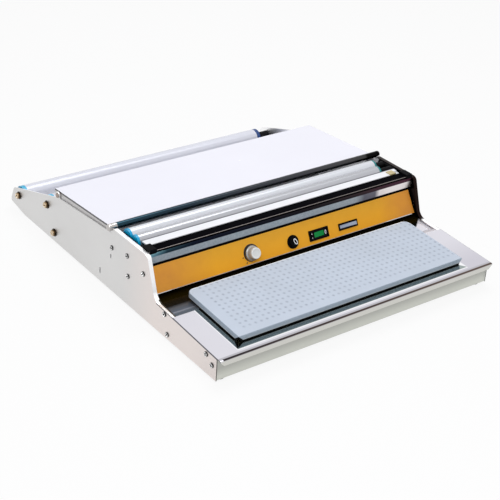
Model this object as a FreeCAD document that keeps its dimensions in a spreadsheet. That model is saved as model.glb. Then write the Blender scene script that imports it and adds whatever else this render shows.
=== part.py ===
import FreeCAD
import Part
import Sketcher
import math
import os
from types import SimpleNamespace

Vector = FreeCAD.Vector
Rotation = FreeCAD.Rotation
Placement = FreeCAD.Placement

# Driving dimensions, in millimetres and degrees. The machine stands with its front at -Y.
# Depths are measured from the front edge of the side panels, heights from their bottom edge,
# and widths from the middle plane.
dimensions = {
    "frame_width": 585.0,
    "panel_sheet": 1.5,
    "casing_sheet": 1.2,
    "tray_sheet": 1.0,
    "rest_gap": 0.3,
    "running_gap": 0.05,
    # side panel outline
    "front_height": 41.2,
    "step_depth": 177.2,
    "step_height": 50.4,
    "step_radius": 20.0,
    "head_front_depth": 201.0,
    "head_height": 122.3,
    "head_radius": 10.0,
    "head_back_depth": 304.5,
    "cover_ledge_front_depth": 328.0,
    "cover_ledge_front_height": 110.4,
    "cover_ledge_back_depth": 501.0,
    "cover_ledge_back_height": 95.5,
    "shoulder_depth": 540.0,
    "shoulder_height": 82.5,
    "tail_top_depth": 673.0,
    "tail_top_height": 41.2,
    "tail_top_radius": 14.0,
    "panel_depth": 685.4,
    "tail_height": 8.5,
    "tail_radius": 3.0,
    "tail_flat": 6.0,
    "sole_depth": 631.0,
    "head_flange": 6.0,
    "shelf_flange": 12.0,
    "shelf_flange_end": 121.0,
    "ear_radius": 7.0,
    "slit_reach": 2.6,
    "slit_half_width": 0.3,
    "slot_width": 2.0,
    "upper_slot_depth": 314.4,
    "upper_slot_height": 66.6,
    "upper_slot_length": 7.0,
    "lower_slot_depth": 350.7,
    "lower_slot_height": 21.2,
    "lower_slot_length": 11.0,
    # small screws of the side panels
    "rest_screw_setback": 11.4,
    "rest_screw_height": 84.0,
    "casing_top_screw_depth": 262.3,
    "casing_top_screw_height": 92.3,
    "casing_low_screw_depth": 259.3,
    "casing_low_screw_height": 55.1,
    "casing_front_screw_depth": 212.1,
    "casing_front_screw_height": 83.5,
    "trough_screw_depth": 146.8,
    "trough_screw_height": 42.0,
    "base_screw_depth": 137.7,
    "base_screw_height": 8.3,
    "apron_top_screw_depth": 28.5,
    "apron_top_screw_height": 34.0,
    "apron_low_screw_depth": 12.2,
    "apron_low_screw_height": 22.7,
    # front shelf and apron
    "lip_overhang": 10.0,
    "lip_height": 9.9,
    "lip_corner_cut": 7.5,
    "shelf_back_depth": 123.0,
    "bend_radius": 2.0,
    "apron_setback": 1.5,
    "apron_return": 40.0,
    "apron_ear": 36.0,
    # trough between shelf and head
    "trough_front_depth": 108.0,
    "trough_crest_depth": 125.0,
    "trough_crease_depth": 140.0,
    "trough_crease_drop": 4.2,
    "trough_back_depth": 197.8,
    "trough_back_height": 46.4,
    "trough_tab_length": 24.0,
    "trough_tab_height": 9.0,
    # base
    "base_back_depth": 500.0,
    "base_rim": 14.0,
    # head casing and control label
    "label_foot_depth": 186.0,
    "label_foot_height": 56.1,
    "label_top_depth": 205.0,
    "label_top_height": 96.9,
    "label_sheet": 0.5,
    "label_foot_gap": 7.0,
    "label_top_gap": 12.0,
    "hem_height": 53.0,
    "hem_return_depth": 200.0,
    "deck_height": 98.0,
    "casing_back_depth": 300.0,
    "end_plate_foot": 8.0,
    "control_hole_reach": 6.0,
    # cutter, wire and film strip
    "front_bar_depth": 204.5,
    "front_bar_thickness": 2.5,
    "front_bar_foot": 101.0,
    "front_bar_top": 120.5,
    "front_bar_round": 2.2,
    "cutter_width": 20.0,
    "cutter_top": 124.0,
    "strip_width": 19.0,
    "strip_thickness": 2.0,
    "strip_gap": 0.5,
    "strip_end_gap": 16.0,
    "strip_notch": 9.0,
    "wire_radius": 0.6,
    "wire_rise": 0.2,
    "terminal_length": 13.0,
    "terminal_rise": 4.0,
    "clip_length": 14.0,
    "clip_end_gap": 17.0,
    "clip_sheet": 1.5,
    "clip_lip": 1.0,
    # feed rollers
    "feed_radius": 11.6,
    "feed_wall": 1.5,
    "feed_front_depth": 258.5,
    "feed_height": 118.0,
    "feed_left_gap": 15.0,
    "feed_front_right_gap": 47.0,
    "feed_back_right_gap": 38.0,
    "feed_cap_left": 4.6,
    "feed_cap_right": 4.0,
    "feed_axle_radius": 2.0,
    "feed_sleeve_radius": 5.0,
    "bearing_thickness": 10.3,
    "bearing_margin": 12.0,
    "cap_plug": 12.0,
    # film rollers at the back
    "film_radius": 17.0,
    "film_wall": 2.0,
    "film_front_depth": 540.4,
    "film_front_height": 63.2,
    "film_back_depth": 652.4,
    "film_back_height": 32.5,
    "film_left_gap": 11.0,
    "film_right_gap": 37.0,
    "film_cap_flange": 8.0,
    "film_axle_radius": 5.0,
    "film_sleeve_radius": 8.0,
    "tie_depth": 514.6,
    "tie_height": 17.7,
    "tie_radius": 5.0,
    # guide rod
    "guide_depth": 315.0,
    "guide_height": 121.5,
    "guide_radius": 6.0,
    "guide_neck_radius": 5.0,
    "guide_neck_width": 2.1,
    "guide_overhang": 6.5,
    "guide_dome": 3.0,
    "notch_horn_height": 117.6,
    # cover
    "cover_side_gap": 2.0,
    "cover_front_depth": 322.0,
    "cover_front_height": 119.5,
    "cover_back_depth": 515.0,
    "cover_back_height": 106.5,
    "cover_lip": 9.0,
    "cover_rim": 14.0,
    "pivot_depth": 499.3,
    "pivot_height": 99.7,
    "pivot_radius": 2.0,
    "pivot_screw_head": 4.5,
    "pivot_spacer_radius": 3.5,
    "rest_setback": 24.0,
    "rest_length": 14.0,
    "rest_width": 7.0,
    "rest_leg_setback": 4.0,
    "rest_leg_foot": 76.0,
    # heated plate
    "plate_side_gap": 51.5,
    "plate_front_depth": 16.5,
    "plate_length": 147.0,
    "plate_top": 11.8,
    "plate_skirt": 10.6,
    "plate_wall": 1.0,
    "plate_corner_radius": 12.0,
    "plate_edge_radius": 1.2,
    "plate_relief": 5.0,
    "mat_thickness": 1.0,
    "board_thickness": 3.0,
    "stack_margin": 6.0,
    "spacer_radius": 5.0,
    "spacer_inset": 30.0,
    # heat knob and thermostat
    "knob_place": -87.5,
    "knob_rise": 18.0,
    "knob_skirt_radius": 13.2,
    "knob_skirt": 3.4,
    "knob_radius": 11.0,
    "knob_top_radius": 9.6,
    "knob_height": 14.5,
    "knob_chamfer": 1.0,
    "knob_wall": 2.0,
    "knob_roof": 3.0,
    "knob_flute_radius": 1.2,
    "knob_flute_setout": 0.5,
    "thermostat_radius": 12.5,
    "thermostat_depth": 22.0,
    "bushing_radius": 4.8,
    "nut_radius": 7.0,
    "nut_height": 2.0,
    "shaft_radius": 3.0,
    # fuse holder
    "fuse_place": 0.5,
    "control_rise": 15.5,
    "fuse_flange_radius": 12.0,
    "fuse_flange": 1.5,
    "fuse_barrel_radius": 8.0,
    "fuse_barrel": 34.0,
    "fuse_floor": 2.0,
    "fuse_cap_radius": 9.0,
    "fuse_cap_height": 4.0,
    "fuse_plug_radius": 4.5,
    "fuse_plug": 8.0,
    "fuse_glass_radius": 2.5,
    "fuse_glass": 20.0,
    "fuse_slot": 2.2,
    "fuse_slot_depth": 1.2,
    # rocker switches
    "cutter_switch_place": 58.25,
    "main_switch_place": 125.75,
    "switch_length": 43.5,
    "cutter_switch_width": 19.0,
    "main_switch_width": 12.5,
    "bezel_rise": 1.5,
    "bezel_flange": 1.5,
    "switch_depth": 20.0,
    "switch_end_wall": 1.0,
    "switch_side_wall": 1.5,
    "switch_pocket": 9.0,
    "rocker_end_gap": 0.7,
    "rocker_crest": 2.8,
    "rocker_valley": 1.6,
    "rocker_foot": 4.0,
    "rocker_tilt": 6.0,
    "rocker_pin_radius": 1.5,
    "rocker_pivot_depth": 1.0,
    "rocker_round": 0.6,
    "lens_length": 23.0,
    "lens_width": 9.0,
    "lens_depth": 2.0,
    # inner parts, screws and feet
    "transformer_side_gap": 101.0,
    "transformer_length": 70.0,
    "transformer_width": 50.0,
    "transformer_height": 46.0,
    "coil_margin": 6.0,
    "gland_side_gap": 61.0,
    "gland_height": 24.0,
    "gland_radius": 9.0,
    "gland_bore": 4.0,
    "gland_reach": 18.0,
    "gland_thread": 8.0,
    "gland_nut": 4.0,
    "gland_nut_margin": 3.0,
    "screw_radius": 2.0,
    "screw_head_radius": 3.6,
    "screw_head": 2.2,
    "screw_length": 6.0,
    "axle_screw_radius": 2.5,
    "axle_screw_head_radius": 6.2,
    "axle_screw_head": 4.0,
    "axle_screw_length": 12.0,
    "axle_washer_radius": 8.5,
    "axle_washer": 1.2,
    "foot_height": 4.0,
    "foot_recess": 1.5,
    "foot_screw_head": 1.6,
    "foot_bore_gap": 0.2,
    "foot_radius": 9.0,
    "foot_top_radius": 10.0,
    "foot_side_inset": 15.5,
    "foot_front_depth": 14.0,
    "foot_back_depth": 484.0,
}

document = FreeCAD.newDocument("stretch_film_wrapper")
sheet = document.addObject("Spreadsheet::Sheet", "Sizes")
for row, (name, number) in enumerate(dimensions.items(), start=1):
    sheet.set(f"A{row}", name)
    sheet.set(f"B{row}", str(number))
    sheet.setAlias(f"B{row}", name)
document.recompute()


class Size:
    """A number together with the sheet expression that it stands for."""

    def __init__(self, number, formula):
        self.number = number
        self.formula = formula

    def __add__(self, other):
        other = as_size(other)
        return Size(self.number + other.number, f"({self.formula} + {other.formula})")

    def __sub__(self, other):
        other = as_size(other)
        return Size(self.number - other.number, f"({self.formula} - {other.formula})")

    def __mul__(self, other):
        other = as_size(other)
        return Size(self.number * other.number, f"({self.formula} * {other.formula})")

    def __truediv__(self, other):
        other = as_size(other)
        return Size(self.number / other.number, f"({self.formula} / {other.formula})")

    def __neg__(self):
        return Size(-self.number, f"(-1 * {self.formula})")

    __radd__ = __add__
    __rmul__ = __mul__


def as_size(thing):
    if isinstance(thing, Size):
        return thing
    return Size(float(thing), f"({float(thing)})")


def root_of_squares(one, other):
    """Length of the slanted side over two square sides."""
    return Size(math.hypot(one.number, other.number), f"hypot({one.formula}; {other.formula})")


def slope_angle(run, rise):
    """Angle in degrees of a line with this run and rise."""
    return Size(math.degrees(math.atan2(rise.number, run.number)), f"atan2({rise.formula}; {run.formula})")


d = SimpleNamespace(**{name: Size(float(number), f"Sizes.{name}") for name, number in dimensions.items()})
names_in_use = {}


def add(kind, name):
    """A new document object; the names are numbered when they repeat."""
    names_in_use[name] = names_in_use.get(name, 0) + 1
    return document.addObject(kind, f"{name}_{names_in_use[name]}")


def bind(thing, attribute, size):
    """Set a property to a size and tie it to the sheet."""
    size = as_size(size)
    setattr(thing, attribute, size.number)
    thing.setExpression(attribute, size.formula)


places = {}


def place(thing, x=0, y=0, z=0, turn=None, angle=None):
    """Put a thing at x, y, z, turned about the axis `turn` by `angle`."""
    spots = [as_size(x), as_size(y), as_size(z)]
    rotation = thing.Placement.Rotation if turn is None else Rotation(turn, as_size(angle).number)
    thing.Placement = Placement(Vector(*[spot.number for spot in spots]), rotation)
    for axis, spot in zip("xyz", spots):
        thing.setExpression(f".Placement.Base.{axis}", spot.formula)
    places[thing.Name] = spots
    return thing


# Planes that sketches lie in: the side plane looks along X, the front plane along -Y.
SIDE_PLANE = Rotation(Vector(1, 1, 1), 120)
FRONT_PLANE = Rotation(Vector(1, 0, 0), 90)
PLANE_NORMAL = {"side": Vector(1, 0, 0), "front": Vector(0, -1, 0), "flat": Vector(0, 0, 1)}
PLANE_TURN = {"side": SIDE_PLANE, "front": FRONT_PLANE, "flat": Rotation()}


def draw_outline(sketch, corners, closed):
    """Lines between corners (across, up[, radius]), with an arc where a radius is given.

    Every corner is a construction point bound to the sheet; each arc is tangent to its two
    sides and has its radius bound.
    """
    count = len(corners)
    across = [as_size(corner[0]) for corner in corners]
    up = [as_size(corner[1]) for corner in corners]
    radii = [as_size(corner[2]) if len(corner) > 2 else None for corner in corners]
    points = [Vector(a.number, b.number, 0) for a, b in zip(across, up)]
    ends = []
    middles = []
    for index, point in enumerate(points):
        if radii[index] is None:
            ends.append((point, point))
            middles.append(None)
            continue
        back = (points[index - 1] - point).normalize()
        ahead = (points[(index + 1) % count] - point).normalize()
        half = back.getAngle(ahead) / 2
        reach = radii[index].number / math.tan(half)
        centre = point + (back + ahead).normalize() * (radii[index].number / math.sin(half))
        middles.append(centre + (point - centre).normalize() * radii[index].number)
        ends.append((point + back * reach, point + ahead * reach))
    marks = [sketch.addGeometry(Part.Point(point), True) for point in points]
    sides = []
    for index in range(count if closed else count - 1):
        side = Part.LineSegment(ends[index][1], ends[(index + 1) % count][0])
        sides.append(sketch.addGeometry(side, False))
    for index, mark in enumerate(marks):
        for kind, size in (("DistanceX", across[index]), ("DistanceY", up[index])):
            number = sketch.addConstraint(Sketcher.Constraint(kind, -1, 1, mark, 1, size.number))
            sketch.setExpression(f"Constraints[{number}]", size.formula)
    for index, mark in enumerate(marks):
        before = sides[index - 1] if closed or index > 0 else None
        after = sides[index] if closed or index < count - 1 else None
        if middles[index] is None:
            if before is not None:
                sketch.addConstraint(Sketcher.Constraint("Coincident", before, 2, mark, 1))
            if after is not None:
                sketch.addConstraint(Sketcher.Constraint("Coincident", after, 1, mark, 1))
            continue
        start, finish = ends[index]
        arc = sketch.addGeometry(Part.Arc(start, middles[index], finish), False)
        forward = sketch.getPoint(arc, 1).distanceToPoint(start) < 1e-6
        first, last = (1, 2) if forward else (2, 1)
        sketch.addConstraint(Sketcher.Constraint("PointOnObject", mark, 1, before))
        sketch.addConstraint(Sketcher.Constraint("PointOnObject", mark, 1, after))
        sketch.addConstraint(Sketcher.Constraint("Tangent", before, 2, arc, first))
        sketch.addConstraint(Sketcher.Constraint("Tangent", arc, last, after, 1))
        number = sketch.addConstraint(Sketcher.Constraint("Radius", arc, radii[index].number))
        sketch.setExpression(f"Constraints[{number}]", radii[index].formula)


def outline_sketch(corners, closed, plane):
    sketch = add("Sketcher::SketchObject", "outline")
    sketch.Placement = Placement(Vector(), PLANE_TURN[plane])
    draw_outline(sketch, corners, closed)
    return sketch


def push(profile, plane, start, length):
    """Extrude a profile along its plane's normal, from start, by length."""
    solid = add("Part::Extrusion", "push")
    solid.Base = profile
    solid.DirMode = "Custom"
    solid.Dir = PLANE_NORMAL[plane]
    solid.Solid = True
    bind(solid, "LengthFwd", length)
    shift = {"x": 0, "y": 0, "z": 0}
    axis = {"side": "x", "front": "y", "flat": "z"}[plane]
    shift[axis] = -as_size(start) if plane == "front" else start
    return place(solid, **shift)


def prism(corners, plane, start, length):
    """A closed outline pushed to a solid."""
    return push(outline_sketch(corners, True, plane), plane, start, length)


def folded(corners, thickness, start, length, to_right=1):
    """A bent sheet: an open side path, thickened to its right, pushed across the machine.

    With to_right at -1 the path is thickened to its left.
    """
    strip = add("Part::Offset2D", "strip")
    strip.Source = outline_sketch(corners, False, "side")
    strip.Mode = "Skin"
    strip.Join = "Arc"
    strip.Fill = True
    bind(strip, "Value", as_size(thickness) * to_right)
    return push(strip, "side", start, length)


def box(x, y, z, length, width, height):
    """A block from its low corner and its three sizes."""
    block = add("Part::Box", "block")
    bind(block, "Length", length)
    bind(block, "Width", width)
    bind(block, "Height", height)
    return place(block, x, y, z)


def rod(x, y, z, radius, length, axis="x"):
    """A round bar that starts at x, y, z and runs along an axis."""
    bar = add("Part::Cylinder", "bar")
    bind(bar, "Radius", radius)
    bind(bar, "Height", length)
    turns = {"x": (Vector(0, 1, 0), 90), "y": (Vector(1, 0, 0), -90), "z": (Vector(0, 0, 1), 0)}
    return place(bar, x, y, z, *turns[axis])


def join(pieces):
    whole = add("Part::MultiFuse", "join")
    whole.Shapes = pieces
    return whole


def without(base, tools):
    """The base with the tools cut away."""
    left = add("Part::Cut", "without")
    left.Base = base
    left.Tool = tools[0] if len(tools) == 1 else join(tools)
    return left


def shared(one, other):
    """What two solids have in common."""
    both = add("Part::Common", "shared")
    both.Base = one
    both.Tool = other
    return both


def group(pieces):
    """Separate solids that are kept together."""
    bundle = add("Part::Compound", "group")
    bundle.Links = pieces
    return bundle


def rounded_edges(base, radius, wanted):
    """Round the edges whose middle point passes the test `wanted`."""
    document.recompute()
    chosen = []
    for number, edge in enumerate(base.Shape.Edges, start=1):
        middle = edge.valueAt((edge.FirstParameter + edge.LastParameter) / 2)
        if wanted(middle, edge):
            chosen.append((number, radius.number, radius.number))
    soft = add("Part::Fillet", "rounded")
    soft.Base = base
    soft.Edges = chosen
    return soft


def plane_of(body, role):
    for feature in body.Origin.OriginFeatures:
        if feature.Role == role:
            return feature
    raise ValueError(role)


def turned(corners, x=0, y=0, z=0, turn=None, angle=0):
    """A turned body from a profile (radius, along); `along` is its Z before the turn."""
    body = add("PartDesign::Body", "turned")
    sketch = body.newObject("Sketcher::SketchObject", f"{body.Name}_profile")
    sketch.AttachmentSupport = [(plane_of(body, "XZ_Plane"), "")]
    sketch.MapMode = "FlatFace"
    draw_outline(sketch, corners, True)
    spin = body.newObject("PartDesign::Revolution", f"{body.Name}_spin")
    spin.Profile = sketch
    spin.ReferenceAxis = (sketch, ["V_Axis"])
    spin.Angle = 360.0
    return place(body, x, y, z, turn or Vector(0, 0, 1), angle)


# Turns that point a turned body's Z along the machine's axes.
ALONG_X = (Vector(0, 1, 0), 90)
AGAINST_X = (Vector(0, 1, 0), -90)
ALONG_Y = (Vector(1, 0, 0), -90)

# Values shared by several pieces.
half_width = d.frame_width / 2
inner_face = half_width - d.panel_sheet
cover_half = inner_face - d.cover_side_gap
bar_half = inner_face - d.head_flange - d.rest_gap
strip_half = inner_face - d.strip_end_gap
plate_half = half_width - d.plate_side_gap
rest_front_depth = d.casing_back_depth + d.rest_setback
shelf_rise = (d.step_height - d.front_height) / d.step_depth
frame_back_shift = -(d.panel_depth - d.lip_overhang) / 2
nodes = {}


def under_shelf(depth):
    """Height of the shelf's underside at a depth."""
    return d.front_height + shelf_rise * depth


# Height that a sheet takes up on the shelf's slope, for one millimetre of thickness.
slope_stretch = root_of_squares(d.step_depth, d.step_height - d.front_height) / d.step_depth
sloped_sheet = d.tray_sheet * slope_stretch


def node(label, thing):
    """Name a finished piece and move it into the machine's own frame."""
    x, y, z = places.get(thing.Name, (as_size(0), as_size(0), as_size(0)))
    place(thing, x, y + frame_back_shift, z + d.foot_height)
    thing.Label = label
    nodes[label] = thing
    return thing


# The slanted control label has a frame of its own: x across, y up the slope, z outwards.
label_run = d.label_top_depth - d.label_foot_depth
label_climb = d.label_top_height - d.label_foot_height
label_length = root_of_squares(label_run, label_climb)
label_angle = slope_angle(label_run, label_climb)


def on_label(thing):
    return place(thing, 0, d.label_foot_depth, d.label_foot_height, Vector(1, 0, 0), label_angle)


def behind_label(height, depth_behind):
    """Depth of the plane that lies so far behind the label's front, at a height."""
    return (
        d.label_foot_depth
        + depth_behind * label_length / label_climb
        + (height - d.label_foot_height) * label_run / label_climb
    )


# The heated plate lies in the shelf's slope: x across, y up the slope, z off the shelf.
shelf_angle = slope_angle(d.step_depth, d.step_height - d.front_height)


def on_shelf(thing):
    height = under_shelf(d.plate_front_depth) + sloped_sheet
    return place(thing, 0, d.plate_front_depth, height, Vector(1, 0, 0), shelf_angle)


# Small screws on each side panel, as (depth, height).
panel_screw_places = [
    (d.casing_back_depth + d.rest_screw_setback, d.rest_screw_height),
    (d.casing_top_screw_depth, d.casing_top_screw_height),
    (d.casing_low_screw_depth, d.casing_low_screw_height),
    (d.casing_front_screw_depth, d.casing_front_screw_height),
    (d.trough_screw_depth, d.trough_screw_height),
    (d.base_screw_depth, d.base_screw_height),
    (d.apron_top_screw_depth, d.apron_top_screw_height),
    (d.apron_low_screw_depth, d.apron_low_screw_height),
]
film_axles = {
    "front": (d.film_front_depth, d.film_front_height),
    "back": (d.film_back_depth, d.film_back_height),
}
feed_back_depth = d.feed_front_depth + d.feed_radius * 2 + d.rest_gap
feed_axles = {
    "front": (d.feed_front_depth, d.feed_height),
    "back": (feed_back_depth, d.feed_height),
}
brass_screw_places = list(film_axles.values()) + [(d.tie_depth, d.tie_height)]
sides = {"left": -1, "right": 1}
notch_bottom = d.guide_height - (d.guide_neck_radius + d.running_gap) * math.sqrt(2)


def screw_hole_tool():
    """Short bars through panel and flange at every small panel screw, on both sides."""
    bars = []
    for side in sides.values():
        start = half_width * side - d.screw_length
        for depth, height in panel_screw_places:
            bars.append(rod(start, depth, height, d.screw_radius, d.screw_length * 2))
    return join(bars)


screw_holes = screw_hole_tool()


def side_panel(side_name):
    """Sheet side with the inward flanges, the rod's notch, the pivot ear and its holes."""
    side = sides[side_name]
    outline = [
        (0, 0),
        (0, d.front_height),
        (d.step_depth, d.step_height, d.step_radius),
        (d.head_front_depth, d.head_height, d.head_radius),
        (d.guide_depth - (d.head_height - notch_bottom), d.head_height),
        (d.guide_depth, notch_bottom),
        (d.guide_depth + (d.notch_horn_height - notch_bottom), d.notch_horn_height),
        (d.cover_ledge_front_depth, d.cover_ledge_front_height),
        (d.cover_ledge_back_depth, d.cover_ledge_back_height),
        (d.shoulder_depth, d.shoulder_height),
        (d.tail_top_depth, d.tail_top_height, d.tail_top_radius),
        (d.panel_depth, d.tail_height + d.tail_flat),
        (d.panel_depth, d.tail_height, d.tail_radius),
        (d.sole_depth, 0),
    ]
    outer_start = inner_face if side > 0 else -half_width
    face = prism(outline, "side", outer_start, d.panel_sheet)
    flange_end_height = under_shelf(d.shelf_flange_end)
    edge_path = [
        (d.shelf_flange_end - d.panel_sheet, under_shelf(d.shelf_flange_end - d.panel_sheet)),
        (d.step_depth, d.step_height, d.step_radius),
        (d.head_front_depth, d.head_height, d.head_radius),
        (d.head_back_depth, d.head_height),
    ]
    edge_start = inner_face - d.head_flange if side > 0 else -inner_face
    edge_strip = folded(edge_path, d.panel_sheet, edge_start, d.head_flange)
    flange_drop = d.panel_sheet * slope_stretch
    shelf_outline = [
        (0, d.front_height),
        (0, d.front_height - flange_drop),
        (d.shelf_flange_end, flange_end_height - flange_drop),
        (d.shelf_flange_end, flange_end_height),
    ]
    shelf_start = inner_face - d.shelf_flange if side > 0 else -inner_face
    shelf_strip = prism(shelf_outline, "side", shelf_start, d.shelf_flange)
    ear = rod(outer_start, d.pivot_depth, d.pivot_height, d.ear_radius, d.panel_sheet)
    bore_start = outer_start - d.panel_sheet
    bore_length = d.panel_sheet * 3
    holes = [screw_holes] + notch_slits(bore_start, bore_length)
    for depth, height, length in (
        (d.upper_slot_depth, d.upper_slot_height, d.upper_slot_length),
        (d.lower_slot_depth, d.lower_slot_height, d.lower_slot_length),
    ):
        holes.append(box(bore_start, depth - d.slot_width / 2, height - length / 2, bore_length,
                         d.slot_width, length))
    for depth, height in brass_screw_places:
        holes.append(rod(bore_start, depth, height, d.axle_screw_radius, bore_length))
    holes.append(rod(bore_start, d.pivot_depth, d.pivot_height, d.pivot_radius, bore_length))
    sheet_metal = join([face, edge_strip, shelf_strip, ear])
    return node(f"{side_name}_side_panel", without(sheet_metal, holes))


def notch_slits(start, length):
    """Two thin slits that cross at the bottom of the rod's notch and carry on its slopes."""
    slits = []
    reach = d.slit_reach
    half = d.slit_half_width
    for way in (-1, 1):
        outline = [
            (d.guide_depth - half * way, notch_bottom - half),
            (d.guide_depth + (reach - half) * way, notch_bottom - reach - half),
            (d.guide_depth + (reach + half) * way, notch_bottom - reach + half),
            (d.guide_depth + half * way, notch_bottom + half),
        ]
        slits.append(prism(outline, "side", start, length))
    return slits


def base_plate():
    """Bottom tray between the panels, with upturned rims."""
    front = d.apron_setback + d.tray_sheet
    path = [
        (front, d.base_rim),
        (front, 0, d.bend_radius),
        (d.base_back_depth, 0, d.bend_radius),
        (d.base_back_depth, d.base_rim),
    ]
    tray = folded(path, d.tray_sheet, -inner_face, inner_face * 2, to_right=-1)
    rims = []
    rim_length = d.base_back_depth - front - d.bend_radius * 2
    for side in sides.values():
        rim_start = inner_face - d.tray_sheet if side > 0 else -inner_face
        rims.append(box(rim_start, front + d.bend_radius, 0, d.tray_sheet, rim_length, d.base_rim))
    holes = [screw_holes]
    for x, y in foot_places():
        holes.append(rod(x, y, -d.tray_sheet, d.screw_radius, d.tray_sheet * 3, "z"))
    return node("base_plate", without(join([tray] + rims), holes))


def foot_places():
    x = half_width - d.foot_side_inset
    return [(x * side, y) for side in sides.values() for y in (d.foot_front_depth, d.foot_back_depth)]


def front_apron():
    """Upright sheet under the shelf's front, with a top return and screw ears."""
    shelf_inner = inner_face - d.shelf_flange - d.rest_gap
    path = [
        (d.apron_setback, 0),
        (d.apron_setback, under_shelf(d.apron_setback), d.bend_radius),
        (d.apron_return, under_shelf(d.apron_return)),
    ]
    middle = folded(path, d.tray_sheet, -shelf_inner, shelf_inner * 2)
    wing_height = d.front_height - d.panel_sheet - d.bend_radius
    pieces = [middle]
    for side in sides.values():
        start = shelf_inner if side > 0 else -inner_face
        reach = inner_face - shelf_inner
        pieces.append(box(start, d.apron_setback, 0, reach, d.tray_sheet, wing_height))
        ear_start = inner_face - d.tray_sheet * 2 if side > 0 else -inner_face + d.tray_sheet
        ear_front = d.apron_setback + d.tray_sheet
        ear_foot = d.tray_sheet + d.base_rim
        pieces.append(box(ear_start, ear_front, ear_foot, d.tray_sheet, d.apron_ear, wing_height - ear_foot))
    return node("front_apron", without(join(pieces), [screw_holes]))


def front_shelf():
    """Front tray: a slanted sheet whose front edge is folded down, with cut corners."""
    lip_top = under_shelf(-d.lip_overhang) + sloped_sheet
    path = [
        (-d.lip_overhang, lip_top - d.lip_height),
        (-d.lip_overhang, lip_top, d.bend_radius),
        (d.shelf_back_depth, under_shelf(d.shelf_back_depth) + sloped_sheet),
    ]
    tray = folded(path, d.tray_sheet, -half_width, half_width * 2)
    cuts = []
    spare = d.bend_radius / 2
    low = lip_top - d.lip_height - spare
    for side in sides.values():
        corner = [
            ((half_width + spare) * side, low),
            ((half_width - d.lip_corner_cut - spare) * side, low),
            ((half_width + spare) * side, low + d.lip_corner_cut + spare * 2),
        ]
        cuts.append(prism(corner, "front", d.lip_overhang - d.bend_radius * 2, d.bend_radius * 3))
    return node("front_shelf", without(tray, cuts))


def trough_plate():
    """Floor between shelf and head: tucked under the shelf, creased, turned up at the back."""
    crest = under_shelf(d.trough_crest_depth)
    path = [
        (d.trough_front_depth, under_shelf(d.trough_front_depth)),
        (d.trough_crest_depth, crest, d.bend_radius),
        (d.trough_crease_depth, crest - d.trough_crease_drop, d.bend_radius),
        (d.trough_back_depth, d.trough_back_height, d.bend_radius),
        (d.trough_back_depth, d.hem_height),
    ]
    floor = folded(path, d.tray_sheet, -inner_face, inner_face * 2)
    relief_foot = crest - d.trough_crease_drop - d.tray_sheet * 2
    relief_height = d.trough_crease_drop + d.tray_sheet * 4
    reliefs = [
        (d.shelf_flange, d.shelf_flange_end + d.rest_gap),
        (d.head_flange, d.trough_crest_depth + d.bend_radius * 3),
    ]
    relief_front = d.trough_front_depth - d.tray_sheet
    cuts = []
    tabs = []
    tab_front = d.trough_crease_depth - d.bend_radius * 2
    tab_foot = crest - d.trough_crease_drop - d.trough_tab_height
    for side in sides.values():
        for flange, relief_back in reliefs:
            start = inner_face - flange - d.rest_gap if side > 0 else -inner_face
            cuts.append(box(start, relief_front, relief_foot, flange + d.rest_gap,
                            relief_back - relief_front, relief_height))
        tab_start = inner_face - d.tray_sheet if side > 0 else -inner_face
        tabs.append(box(tab_start, tab_front, tab_foot, d.tray_sheet, d.trough_tab_length,
                        d.trough_tab_height))
    return node("trough_plate", without(join([without(floor, cuts)] + tabs), [screw_holes]))


def head_casing():
    """Bent cover of the head: hem, slanted front, deck and back wall, closed by end plates."""
    back_of_label = d.label_sheet
    path = [
        (d.hem_return_depth, d.hem_height),
        (behind_label(d.hem_height, back_of_label), d.hem_height, d.casing_sheet * 1.1),
        (behind_label(d.deck_height, back_of_label), d.deck_height, d.bend_radius),
        (d.casing_back_depth, d.deck_height, d.bend_radius),
        (d.casing_back_depth, d.tray_sheet),
    ]
    shell = folded(path, d.casing_sheet, -inner_face, inner_face * 2)
    plates = []
    plate_outline = [
        (d.hem_return_depth + d.tray_sheet, d.end_plate_foot),
        (d.hem_return_depth + d.tray_sheet, d.label_foot_height),
        (behind_label(d.deck_height, back_of_label) + d.casing_sheet, d.deck_height - d.casing_sheet),
        (d.casing_back_depth - d.casing_sheet, d.deck_height - d.casing_sheet),
        (d.casing_back_depth - d.casing_sheet, d.end_plate_foot),
    ]
    for side in sides.values():
        start = inner_face - d.tray_sheet if side > 0 else -inner_face
        plates.append(prism(plate_outline, "side", start, d.tray_sheet))
    control_holes = on_label(label_holes())
    gland_hole = rod(inner_face - d.gland_side_gap, d.casing_back_depth - d.gland_thread / 2,
                     d.gland_height, d.gland_radius, d.gland_thread, "y")
    # The base's side rim and the plate share the wall, so the plate is notched above the rim.
    notches = []
    for side in sides.values():
        start = inner_face * side - d.tray_sheet * 2
        notches.append(box(start, 0, 0, d.tray_sheet * 4, d.base_back_depth, d.base_rim + d.rest_gap))
    shell = without(shell, [control_holes, gland_hole] + notches)
    ends = without(join(plates), [screw_holes] + notches)
    return node("head_casing", join([shell, ends]))


def label_holes():
    """Openings for the knob bushing, the fuse holder and both switches, in the label's frame."""
    start = -d.control_hole_reach
    length = d.control_hole_reach * 2
    shapes = [
        rod(d.knob_place, d.knob_rise, start, d.bushing_radius, length, "z"),
        rod(d.fuse_place, d.control_rise, start, d.fuse_barrel_radius, length, "z"),
    ]
    for place_across, width in switches.values():
        body_length = d.switch_length - d.bezel_flange * 2
        body_width = width - d.bezel_flange * 2
        shapes.append(box(place_across - body_length / 2, d.control_rise - body_width / 2, start,
                          body_length, body_width, length))
    return join(shapes)


switches = {
    "cutter_switch": (d.cutter_switch_place, d.cutter_switch_width),
    "main_switch": (d.main_switch_place, d.main_switch_width),
}


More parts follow.
